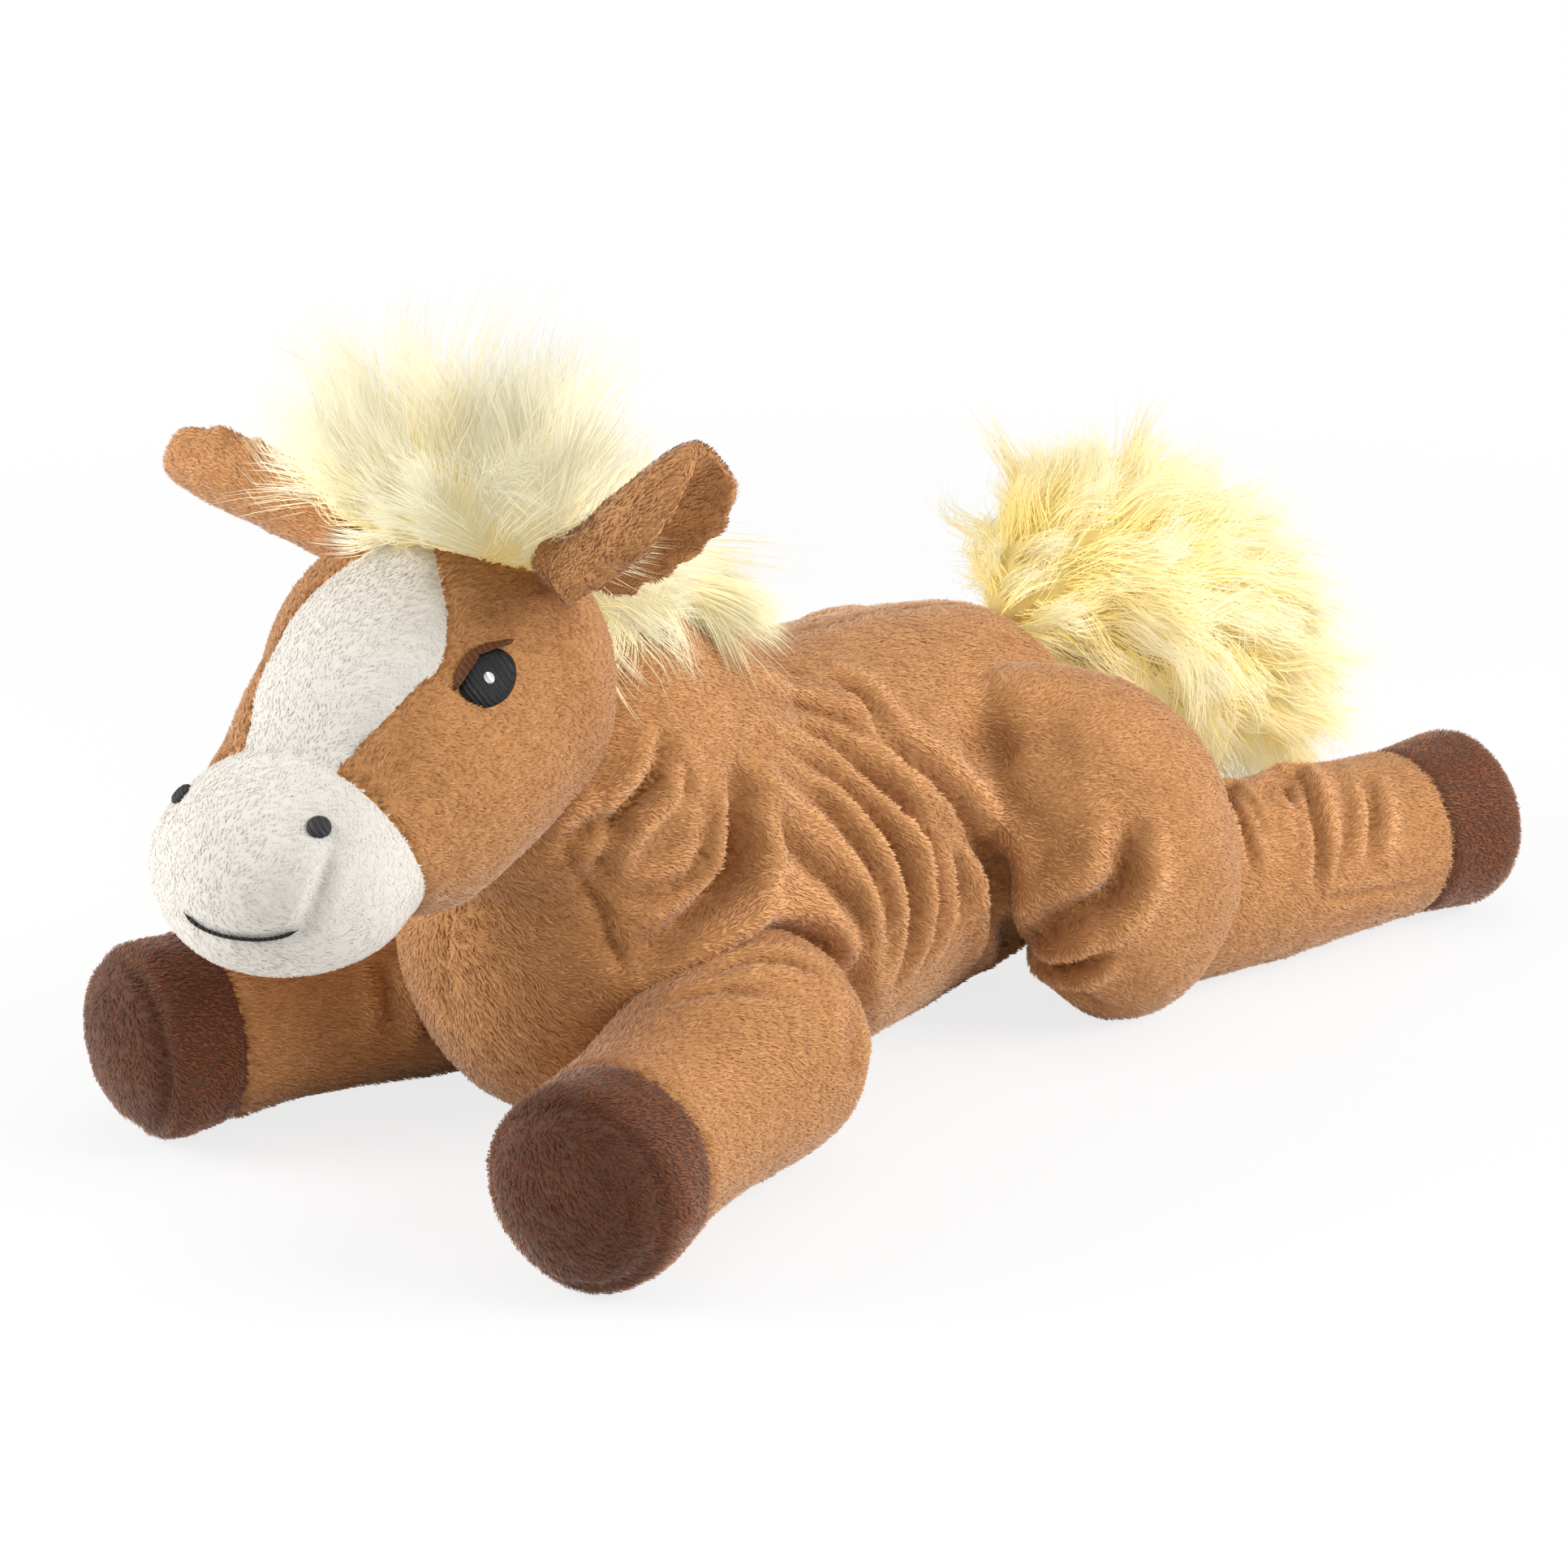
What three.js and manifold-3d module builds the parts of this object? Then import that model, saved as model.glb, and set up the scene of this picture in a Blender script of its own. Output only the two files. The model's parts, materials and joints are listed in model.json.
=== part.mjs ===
// A lying plush horse, in millimetres: +Z up, facing -Y, its left side at +X.
// The origin is the middle of the flat patch of belly that it rests on.
import * as THREE from 'three';
import { mergeVertices } from 'three/addons/utils/BufferGeometryUtils.js';
import Module from 'manifold-3d';

const wasm = await Module();
wasm.setup();

// Cloth and sewing
const clothThickness = 2.4;      // plush with its backing
const seamGap = 0.3;             // between pieces that are sewn together
const turningGap = 1;            // between a limb's ball root and its seat
const restDepth = 0.5;           // how deep the toy presses flat where it rests
const threadHeight = 0.9;        // how far embroidery stands off the plush

// Body
const bodyLength = 184;
const bodyWidth = 90;
const bodyHeight = 94;
const chestReach = 94;           // from the origin forward to the tip of the chest
const neckWidth = 70;

// Head
const headRadius = 34;           // the skull, a ball at the back of the head
const headReach = 5;             // from the tip of the chest forward to the skull's middle
const headHeight = 105.5;
const headAside = 10;            // the neck bends a little to the toy's left
const faceLength = 46;           // from the skull's middle to the muzzle seam
const muzzleLength = 34;
const muzzleWidth = 51;
const muzzleHeight = 39.5;
const headTurn = 13;             // degrees to the toy's left
const facePitch = 20;            // degrees that the nose points down

// Legs
const legRadius = 21.5;
const hoofRadius = 21.5;
const hoofLength = 24;           // from the coloured band's seam to the toe
const soleLength = 11;           // the part of the hoof closed by its sole disc
const shoulderSpread = 41;
const shoulderInset = 38;        // from the tip of the chest back to the shoulders
const shoulderTurn = 6.5;        // how far the right shoulder lies ahead and the left behind
const frontLegLength = 81;       // from the shoulder's middle to the toe
const frontLeftSplay = 20;       // degrees outward
const frontRightSplay = 10.5;
const hipSpread = 46;
const haunchInset = 25;          // from the rump forward to the haunch's middle
const haunchWidth = 46;
const haunchLength = 62;
const haunchHeight = 80;
const stifleSpread = 38;
const stifleReach = 19;          // from there back to where the lower hind leg turns
const hindLegLength = 104;       // from there to the toe
const hindLegSplay = 10;

// Ears
const earLength = 46;
const earWidth = 34;
const earRootRadius = 7.5;
const earThickness = 2.2;        // each of the two layers
const earTurn = 35;              // degrees that the hollow side faces outward
const earLeftDroop = 50;         // degrees from upright
const earRightDroop = 74;

// Long fur
const forelockHeight = 42;       // above the top of the skull
const forelockWidth = 68;
const forelockDepth = 50;
const maneThickness = 26;
const tailLength = 140;
const tailWidth = 56;
const tailRootRadius = 12;

// Embroidery
const eyeDiameter = 11.5;
const eyeGlintDiameter = 2.6;
const browLength = 12;
const browWidth = 3;
const browStart = 25;            // degrees round the eye from its front corner
const nostrilDiameter = 4.6;
const smileWidth = 24;
const smileThread = 1.4;

// How far the joints turn, in degrees
const headNodUp = 12;
const headNodDown = 8;

const colours = {
  plush: 0xc08a5c, cream: 0xf3ede2, hoof: 0x5a3a33, fur: 0xf6e7a0,
  thread: 0x26262a, glint: 0xf4f4f4, brow: 0x6b3d1c, fill: 0xf5f5f2,
};
const radians = Math.PI / 180;
const up = new THREE.Vector3(0, 0, 1);
const side = new THREE.Vector3(1, 0, 0);
const place = (x, y, z) => new THREE.Vector3(x, y, z);

// Solids

function solidOf(geometry) {
  const bare = geometry.index ? geometry.toNonIndexed() : geometry.clone();
  bare.deleteAttribute('normal');
  bare.deleteAttribute('uv');
  const merged = mergeVertices(bare);
  return new wasm.Manifold(new wasm.Mesh({
    numProp: 3,
    vertProperties: new Float32Array(merged.attributes.position.array),
    triVerts: new Uint32Array(merged.index.array),
  }));
}

function meshOf(name, solid, colour, roughness = 0.95) {
  const found = solid.getMesh();
  const geometry = new THREE.BufferGeometry();
  geometry.setAttribute('position', new THREE.BufferAttribute(found.vertProperties, found.numProp));
  geometry.setIndex(new THREE.BufferAttribute(found.triVerts, 1));
  geometry.computeVertexNormals();
  const mesh = new THREE.Mesh(geometry, new THREE.MeshStandardMaterial({
    color: colour, roughness, metalness: 0,
  }));
  mesh.name = name;
  return mesh;
}

// A value read from rows of [share, value, value...], eased between them
function readRows(rows, share, column) {
  const last = rows.length - 1;
  if (share <= rows[0][0]) return rows[0][column];
  if (share >= rows[last][0]) return rows[last][column];
  const i = rows.findIndex((row) => row[0] > share) - 1;
  const t = (share - rows[i][0]) / (rows[i + 1][0] - rows[i][0]);
  const slope = (k) => {
    const a = rows[Math.max(k - 1, 0)];
    const b = rows[Math.min(k + 1, last)];
    return (b[column] - a[column]) / (b[0] - a[0]);
  };
  const span = rows[i + 1][0] - rows[i][0];
  return THREE.MathUtils.lerp(rows[i][column], rows[i + 1][column], t * t * (3 - 2 * t))
    + span * t * (1 - t) * ((1 - t) * slope(i) - t * slope(i + 1));
}

// A stuffed form: rings along a spine that swell and taper by rows of shares of its
// half width and half height, closed by a round cap at each end
function stuffedForm({
  spine, halfWidth, halfHeight, rowShares, capShares, rings, sides, across = side, staggered = true,
}) {
  const curve = new THREE.CatmullRomCurve3(spine, false, 'centripetal');
  const points = [];
  const faces = [];
  for (let i = 0; i <= rings; i++) {
    const share = (1 - Math.cos(Math.PI * i / rings)) / 2;
    const centre = curve.getPointAt(share);
    const along = curve.getTangentAt(share);
    const right = across.clone().addScaledVector(along, -across.dot(along)).normalize();
    const over = right.clone().cross(along);
    const startCap = Math.min(share / capShares[0], 1);
    const endCap = Math.min((1 - share) / capShares[1], 1);
    const cap = Math.sqrt(Math.max(0, (1 - (1 - startCap) ** 2) * (1 - (1 - endCap) ** 2)));
    const wide = halfWidth * readRows(rowShares, share, 1) * cap;
    const high = halfHeight * readRows(rowShares, share, 2) * cap;
    if (i === 0 || i === rings) {
      points.push(centre);
      continue;
    }
    for (let k = 0; k < sides; k++) {
      const turn = 2 * Math.PI * (k + (staggered ? i % 2 : 0) / 2) / sides;
      points.push(centre.clone().addScaledVector(right, wide * Math.cos(turn))
        .addScaledVector(over, high * Math.sin(turn)));
    }
  }
  const at = (ring, k) => 1 + (ring - 1) * sides + (k + sides) % sides;
  const end = points.length - 1;
  for (let k = 0; k < sides; k++) {
    faces.push(0, at(1, k), at(1, k + 1));
    faces.push(end, at(rings - 1, k + 1), at(rings - 1, k));
  }
  for (let i = 1; i < rings - 1; i++) {
    const lean = i % 2;
    for (let k = 0; k < sides; k++) {
      const [a, b] = [at(i, k), at(i, k + 1)];
      const [d, c] = [at(i + 1, k), at(i + 1, k + 1)];
      if (lean) faces.push(a, c, b, a, d, c);
      else faces.push(a, d, b, b, d, c);
    }
  }
  const geometry = new THREE.BufferGeometry();
  geometry.setAttribute('position', new THREE.Float32BufferAttribute(points.flatMap((p) => p.toArray()), 3));
  geometry.setIndex(faces);
  geometry.computeVertexNormals();
  return geometry;
}

// The same form grown outward along its normals, or shrunk by a negative distance
function grown(geometry, distance) {
  const copy = geometry.clone();
  const { position, normal } = copy.attributes;
  for (let i = 0; i < position.count; i++) {
    position.setXYZ(i, position.getX(i) + normal.getX(i) * distance,
      position.getY(i) + normal.getY(i) * distance, position.getZ(i) + normal.getZ(i) * distance);
  }
  return solidOf(copy);
}

const roomSize = 4 * bodyLength;
// Sides of a ball root, of the seat it turns in, and of the skull's seat
const rootDetail = 10;
const seatDetail = 16;
const skullDetail = 16;

// Everything on the far side of a plane through a point, along its normal
function beyond(point, normal) {
  const geometry = new THREE.BoxGeometry(roomSize, roomSize, roomSize);
  geometry.translate(0, 0, roomSize / 2);
  geometry.applyQuaternion(new THREE.Quaternion().setFromUnitVectors(up, normal.clone().normalize()));
  geometry.translate(point.x, point.y, point.z);
  return solidOf(geometry);
}

const underTheRest = beyond(place(0, 0, 0), place(0, 0, -1));

function ball(centre, radius, detail) {
  const geometry = new THREE.SphereGeometry(radius, detail, Math.round(detail * 0.6));
  geometry.rotateX(Math.PI / 2);
  geometry.translate(centre.x, centre.y, centre.z);
  return solidOf(geometry);
}

// A straight prism over an outline, lying in the plane across its direction
function prism(outline, centre, direction, lateral, length) {
  const shape = new THREE.Shape(outline);
  const geometry = new THREE.ExtrudeGeometry(shape, { depth: length, bevelEnabled: false });
  const out = direction.clone().normalize();
  const right = lateral.clone().addScaledVector(out, -lateral.dot(out)).normalize();
  const over = out.clone().cross(right);
  geometry.applyMatrix4(new THREE.Matrix4().makeBasis(right, over, out).setPosition(centre));
  return solidOf(geometry);
}

const roundOutline = (radius, sides = 12) => Array.from({ length: sides }, (_, k) => new THREE.Vector2(
  radius * Math.cos(2 * Math.PI * k / sides), radius * Math.sin(2 * Math.PI * k / sides)));

// Body: a barrel that narrows at the hips, and a neck that rises to the head

const chestTip = -chestReach;
const rumpEnd = bodyLength - chestReach;
const headForward = chestReach + headReach;
const shoulderForward = chestReach - shoulderInset;
const haunchBack = rumpEnd - haunchInset;
const stifleBack = haunchBack + stifleReach;
const skull = place(headAside, -headForward, headHeight);
const barrelForm = stuffedForm({
  spine: [
    place(0, chestTip, 0.58 * bodyHeight), place(0, chestTip * 0.62, 0.495 * bodyHeight),
    place(0, chestTip * 0.21, 0.482 * bodyHeight), place(0, rumpEnd * 0.22, 0.48 * bodyHeight),
    place(0, rumpEnd * 0.61, 0.49 * bodyHeight), place(0, rumpEnd, 0.54 * bodyHeight),
  ],
  halfWidth: bodyWidth / 2,
  halfHeight: bodyHeight / 2,
  rowShares: [[0, 0.86, 0.88], [0.2, 0.93, 0.97], [0.4, 1, 1.006], [0.52, 0.98, 1.003], [0.63, 0.87, 0.995],
    [0.74, 0.76, 0.97], [0.86, 0.73, 0.88], [1, 0.68, 0.76]],
  capShares: [0.2, 0.17],
  rings: 12,
  sides: 14,
  staggered: false,
});
const neckForm = stuffedForm({
  spine: [
    place(0, chestTip * 0.12, 0.56 * bodyHeight),
    place(headAside * 0.3, -0.55 * headForward, 0.72 * headHeight),
    place(headAside * 0.8, -0.9 * headForward, 1.01 * headHeight),
  ],
  halfWidth: neckWidth / 2,
  halfHeight: neckWidth / 2,
  rowShares: [[0, 1.1, 1.1], [0.5, 1.05, 1.12], [1, 0.88, 0.9]],
  capShares: [0.4, 0.25],
  rings: 7,
  sides: 10,
});
const bodyWithin = (inset) => grown(barrelForm, -inset).add(grown(neckForm, -inset));

// Head, made facing -Y about the skull's middle, then pitched and turned

const headLength = headRadius + faceLength + muzzleLength;
const muzzleShare = muzzleWidth / 2 / headRadius;
const muzzleRise = muzzleHeight / 2 / headRadius;
const faceShare = (distance) => (headRadius + distance) / headLength;
const headShape = {
  spine: [place(0, headRadius, 0), place(0, 0, 0), place(0, -faceLength * 0.45, -headRadius * 0.07),
    place(0, -faceLength, -headRadius * 0.03), place(0, -faceLength - muzzleLength, -headRadius * 0.03)],
  across: side.clone().negate(),
  halfWidth: headRadius,
  halfHeight: headRadius,
  rowShares: [[0, 1, 1], [faceShare(0), 1, 1], [faceShare(faceLength * 0.35), 0.92, 1.0],
    [faceShare(faceLength * 0.7), 0.77, 0.85], [faceShare(faceLength), muzzleShare * 0.95, muzzleRise * 1.04],
    [faceShare(faceLength + muzzleLength * 0.4), muzzleShare, muzzleRise],
    [1, muzzleShare * 0.95, muzzleRise * 0.95]],
  capShares: [headRadius / headLength, muzzleLength * 0.75 / headLength],
};
const headForm = stuffedForm({ ...headShape, rings: 12, sides: 14 });
const jawSides = 10;
const jawForm = stuffedForm({ ...headShape, rings: 8, sides: jawSides });
const headPose = new THREE.Matrix4().makeTranslation(skull.x, skull.y, skull.z)
  .multiply(new THREE.Matrix4().makeRotationZ(headTurn * radians))
  .multiply(new THREE.Matrix4().makeRotationX(facePitch * radians));
const onHead = (x, y, z) => place(x, y, z).applyMatrix4(headPose);
const headDirection = (x, y, z) => place(x, y, z).transformDirection(headPose);
for (const form of [headForm, jawForm]) {
  form.applyMatrix4(headPose);
  form.computeVertexNormals();
}
const headSide = headDirection(1, 0, 0);
const headGrown = (distance) => grown(headForm, distance);
// A piece of thread or cloth that hugs the head under an outline
const onSkin = (low, high, cutter) => headGrown(high).subtract(headGrown(low)).intersect(cutter);

// Room in the neck for the skull, and for the jaw as the head nods about the skull's middle
const nodAxis = headDirection(1, 0, 0);
const jawGap = turningGap + headRadius * (1 - Math.cos(Math.PI / jawSides));
const nodded = (degrees) => {
  const turned = grown(jawForm, jawGap).intersect(beyond(skull, headDirection(0, -1, 0)))
    .translate([-skull.x, -skull.y, -skull.z]);
  const quaternion = new THREE.Quaternion().setFromAxisAngle(nodAxis, degrees * radians);
  return turned.transform(new THREE.Matrix4().makeRotationFromQuaternion(quaternion).elements)
    .translate([skull.x, skull.y, skull.z]);
};
const bodySeat = [-headNodUp, 0, headNodDown].reduce((sum, degrees) => sum.add(nodded(degrees)),
  ball(skull, headRadius + turningGap, skullDetail));

// Legs: a ball root, then a limb that tapers and swells into its hoof

function legParts({ root, direction, length }) {
  const toe = root.clone().addScaledVector(direction, length);
  const start = root.clone().addScaledVector(direction, -legRadius);
  const total = length + legRadius;
  const share = (distance) => (legRadius + distance) / total;
  const hoofShare = hoofRadius / legRadius;
  const form = stuffedForm({
    spine: [start, root, toe],
    halfWidth: legRadius,
    halfHeight: legRadius,
    rowShares: [[0, 1, 1], [share(0), 1, 1], [share(length * 0.35), 0.97, 0.97],
      [share(length - hoofLength * 1.4), 0.92, 0.92],
      [share(length - hoofLength * 0.8), hoofShare * 0.96, hoofShare * 0.96],
      [share(length - hoofLength * 0.4), hoofShare, hoofShare], [1, hoofShare * 0.98, hoofShare * 0.98]],
    capShares: [legRadius / total, soleLength * 1.15 / total],
    rings: 11,
    sides: 10,
  });
  return { form, root, direction, toe };
}

function makeLeg(names, leg, parent) {
  const { form, root, direction, toe } = leg;
  const bandSeam = toe.clone().addScaledVector(direction, -hoofLength);
  const soleSeam = toe.clone().addScaledVector(direction, -soleLength);
  const overlap = seamGap / 2;
  const afterBand = (shift) => beyond(bandSeam.clone().addScaledVector(direction, shift), direction);
  const afterSole = (shift) => beyond(soleSeam.clone().addScaledVector(direction, shift), direction);
  const rootBall = ball(root, legRadius, rootDetail);
  const clearOf = (solid) => solid.subtract(parent.subtract(rootBall)).subtract(underTheRest);
  const shell = clearOf(grown(form, 0)).subtract(grown(form, -clothThickness));
  const mouthMiddle = root.clone().addScaledVector(direction, -legRadius * 0.55);
  const mouth = beyond(mouthMiddle, direction.clone().negate());
  const cover = shell.subtract(afterBand(-overlap)).subtract(mouth);
  const band = shell.intersect(afterBand(overlap)).subtract(afterSole(-overlap));
  const sole = shell.intersect(afterSole(overlap));
  const filling = clearOf(grown(form, -clothThickness - seamGap));
  return [
    meshOf(`${names}_cover`, largest(cover), colours.plush),
    meshOf(`${names}_hoof_band`, largest(band), colours.hoof, 0.8),
    meshOf(`${names}_hoof_sole`, largest(sole), colours.hoof, 0.8),
    meshOf(`${names}_filling`, largest(filling), colours.fill),
  ];
}

function largest(solid) {
  return solid.decompose().sort((a, b) => b.volume() - a.volume())[0];
}

const heading = (degrees, forward) => place(
  Math.sin(degrees * radians), forward * Math.cos(degrees * radians), 0);
const mirrored = (vector) => place(-vector.x, vector.y, vector.z);
const legHeight = legRadius - restDepth;
const frontLeft = legParts({
  root: place(shoulderSpread, shoulderTurn - shoulderForward, legHeight),
  direction: heading(frontLeftSplay, -1),
  length: frontLegLength,
});
const frontRight = legParts({
  root: place(-shoulderSpread, -shoulderTurn - shoulderForward, legHeight),
  direction: heading(-frontRightSplay, -1),
  length: frontLegLength,
});
const hindLeft = legParts({
  root: place(stifleSpread, stifleBack, legHeight),
  direction: heading(hindLegSplay, 1),
  length: hindLegLength,
});
const hindRight = legParts({
  root: mirrored(hindLeft.root), direction: mirrored(hindLeft.direction), length: hindLegLength,
});
const legSeat = (leg) => ball(leg.root, legRadius + turningGap, seatDetail);

// Haunches: the folded thighs, sewn to the hips

function haunchForm(sign) {
  const middle = sign * hipSpread;
  return stuffedForm({
    spine: [
      place(middle * 0.5, haunchBack * 0.6, haunchHeight),
      place(middle * 0.92, haunchBack * 0.96, haunchHeight * 0.5),
      place(middle, haunchBack * 1.02, -restDepth),
    ],
    across: side,
    halfWidth: haunchWidth / 2,
    halfHeight: haunchLength / 2,
    rowShares: [[0, 0.8, 0.66], [0.45, 1, 0.98], [1, 0.96, 0.94]],
    capShares: [0.5, 0.4],
    rings: 9,
    sides: 10,
  });
}

// The haunch ends at a plane just ahead of the turn of the lower leg
const rearPlane = (gap) => beyond(place(0, stifleBack - legRadius * 0.45 - gap, 0), place(0, 1, 0));
const haunches = { left: haunchForm(1), right: haunchForm(-1) };
const haunchWithin = (name, inset) => grown(haunches[name], -inset);

// The body's shell is cut to a left and a right side and a belly panel

const seats = [frontLeft, frontRight, hindLeft, hindRight]
  .reduce((sum, leg) => sum.add(legSeat(leg)), bodySeat);
const tailRoot = place(0, rumpEnd * 0.78, bodyHeight * 0.93);
const tailSeat = ball(tailRoot, tailRootRadius + turningGap, seatDetail);
const bodyShell = bodyWithin(0).subtract(bodyWithin(clothThickness)).subtract(seats).subtract(tailSeat)
  .subtract(underTheRest);
const bellyHalf = bodyWidth * 0.24;
const bellyTop = bodyHeight * 0.34;
const bellyOutline = (gap) => [
  new THREE.Vector2(-bellyHalf - gap, -roomSize / 4), new THREE.Vector2(bellyHalf + gap, -roomSize / 4),
  new THREE.Vector2(bellyHalf + gap, bellyTop + gap), new THREE.Vector2(-bellyHalf - gap, bellyTop + gap),
];
const bellyPrism = (gap) => prism(
  bellyOutline(gap), place(0, roomSize / 2, 0), place(0, -1, 0), side, roomSize);
const bellyPanel = largest(bodyShell.intersect(bellyPrism(0)));
const sideShell = bodyShell.subtract(bellyPrism(seamGap));
const halfBeyond = (sign) => beyond(place(sign * seamGap / 2, 0, 0), place(sign, 0, 0));
const sideLeft = largest(sideShell.intersect(halfBeyond(1)));
const sideRight = largest(sideShell.intersect(halfBeyond(-1)));
const bodyFilling = largest(bodyWithin(clothThickness + seamGap).subtract(seats).subtract(tailSeat));

const toy = new THREE.Group();
toy.add(meshOf('body_side_left', sideLeft, colours.plush));
toy.add(meshOf('body_side_right', sideRight, colours.plush));
toy.add(meshOf('belly_panel', bellyPanel, colours.plush));
toy.add(meshOf('body_filling', bodyFilling, colours.fill));

const bodyClear = bodyWithin(-seamGap);
for (const [name, leg] of [['left', hindLeft], ['right', hindRight]]) {
  const trim = (solid) => solid.subtract(bodyClear).subtract(legSeat(leg)).subtract(rearPlane(0))
    .subtract(underTheRest);
  const cover = trim(haunchWithin(name, 0)).subtract(haunchWithin(name, clothThickness));
  const filling = trim(haunchWithin(name, clothThickness + seamGap));
  toy.add(meshOf(`haunch_${name}_cover`, largest(cover), colours.plush));
  toy.add(meshOf(`haunch_${name}_filling`, largest(filling), colours.fill));
}
for (const mesh of makeLeg('front_leg_left', frontLeft, bodyClear)) toy.add(mesh);
for (const mesh of makeLeg('front_leg_right', frontRight, bodyClear)) toy.add(mesh);
const rearClear = (name) => bodyClear.add(grown(haunches[name], seamGap).subtract(rearPlane(seamGap)));
for (const mesh of makeLeg('hind_leg_left', hindLeft, rearClear('left'))) toy.add(mesh);
for (const mesh of makeLeg('hind_leg_right', hindRight, rearClear('right'))) toy.add(mesh);

// Head panels: the brown cover, the pale blaze between the eyes and the muzzle

const muzzleSeam = (shift) => beyond(onHead(0, -faceLength - shift, 0), headDirection(0, -1, 0.12));
const blazeShares = [[-0.3, -1], [-0.53, 0.02], [-0.45, 0.5], [-0.3, 0.95],
  [0.3, 0.95], [0.45, 0.5], [0.53, 0.02], [0.3, -1]];
const blazeMiddle = faceLength * 0.44;
const blazePrism = (gap) => prism(
  blazeShares.map(([u, v]) => new THREE.Vector2(
    u * headRadius + Math.sign(u) * gap, v * faceLength * 0.6 + Math.sign(v) * gap)),
  onHead(0, -blazeMiddle, 0), headDirection(0, -0.1, 1), headSide, headRadius * 2);
const neckMouth = ball(onHead(0, headRadius * 0.62, -headRadius * 0.62), headRadius * 0.5, 10);
const headShell = headGrown(0).subtract(headGrown(-clothThickness)).subtract(neckMouth);
const muzzle = headShell.intersect(muzzleSeam(seamGap));
const behindMuzzle = headShell.subtract(muzzleSeam(0));
const blaze = behindMuzzle.intersect(blazePrism(0));
const headCover = behindMuzzle.subtract(blazePrism(seamGap));
const headFilling = headGrown(-clothThickness - seamGap);

// Ears: a leaf folded along its middle, a brown back and a lining, on a ball root

function earGeometry(from, to, spreadShare) {
  const rows = 5;
  const columns = 6;
  const foldShare = 1.25;          // of a radian that each half of the leaf curls
  const points = [];
  for (const layer of [from, to]) {
    for (let i = 0; i <= rows; i++) {
      const v = i / rows;
      const swell = 0.34 + 0.66 * Math.sin(Math.PI * (0.12 + 0.62 * v));
      const half = spreadShare * earWidth * swell * Math.sqrt(1 - v ** 4);
      for (let k = 0; k <= columns; k++) {
        const u = (k / columns) * 2 - 1;
        const bend = u * foldShare;
        const radius = Math.max(half, earThickness * 1.5) / foldShare - layer;
        points.push(radius * Math.sin(bend), radius * (1 - Math.cos(bend)) + layer, v * earLength);
      }
    }
  }
  const across = columns + 1;
  const layerSize = (rows + 1) * across;
  const faces = [];
  const quad = (a, b, c, d) => faces.push(a, b, c, a, c, d);
  for (let i = 0; i < rows; i++) {
    for (let k = 0; k < columns; k++) {
      const a = i * across + k;
      quad(a, a + 1, a + across + 1, a + across);
      quad(layerSize + a, layerSize + a + across, layerSize + a + across + 1, layerSize + a + 1);
    }
    const left = i * across;
    const right = left + columns;
    quad(left, left + across, layerSize + left + across, layerSize + left);
    quad(right, layerSize + right, layerSize + right + across, right + across);
  }
  for (let k = 0; k < columns; k++) {
    const low = k;
    const high = rows * across + k;
    quad(low, layerSize + low, layerSize + low + 1, low + 1);
    quad(high, high + 1, layerSize + high + 1, layerSize + high);
  }
  const geometry = new THREE.BufferGeometry();
  geometry.setAttribute('position', new THREE.Float32BufferAttribute(points, 3));
  geometry.setIndex(faces);
  return geometry;
}

const earSpread = headRadius * 0.74;
const earRise = Math.sqrt(headRadius ** 2 - earSpread ** 2) + earRootRadius * 0.45;
function makeEar(sign, droop) {
  const root = onHead(sign * earSpread, headRadius * 0.2, earRise);
  const pose = new THREE.Matrix4().makeTranslation(root.x, root.y, root.z)
    .multiply(new THREE.Matrix4().makeRotationZ(headTurn * radians))
    .multiply(new THREE.Matrix4().makeRotationY(sign * droop * radians))
    .multiply(new THREE.Matrix4().makeRotationZ(-sign * earTurn * radians));
  const leaf = (from, to, spreadShare) => {
    const geometry = earGeometry(from, to, spreadShare);
    geometry.translate(0, 0, earRootRadius * 0.2);
    geometry.applyMatrix4(pose);
    return solidOf(geometry);
  };
  const lining = leaf(earThickness + seamGap, 2 * earThickness + seamGap, 0.36)
    .subtract(ball(root, earRootRadius + 2 * seamGap, rootDetail));
  const back = leaf(0, earThickness, 0.4).add(ball(root, earRootRadius, rootDetail));
  return { root, back: largest(back), lining: largest(lining) };
}
const ears = { left: makeEar(1, earLeftDroop), right: makeEar(-1, earRightDroop) };
const earSeats = ball(ears.left.root, earRootRadius + turningGap, seatDetail)
  .add(ball(ears.right.root, earRootRadius + turningGap, seatDetail));
toy.add(meshOf('head_cover', largest(headCover.subtract(earSeats)), colours.plush));
toy.add(meshOf('blaze_panel', largest(blaze), colours.cream));
toy.add(meshOf('muzzle_cover', largest(muzzle), colours.cream));
toy.add(meshOf('head_filling', largest(headFilling.subtract(earSeats)), colours.fill));
for (const name of ['left', 'right']) {
  toy.add(meshOf(`ear_${name}_back`, ears[name].back, colours.plush));
  toy.add(meshOf(`ear_${name}_lining`, ears[name].lining, colours.plush));
}

// Embroidery: patches of thread that hug the head under an outline

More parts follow.
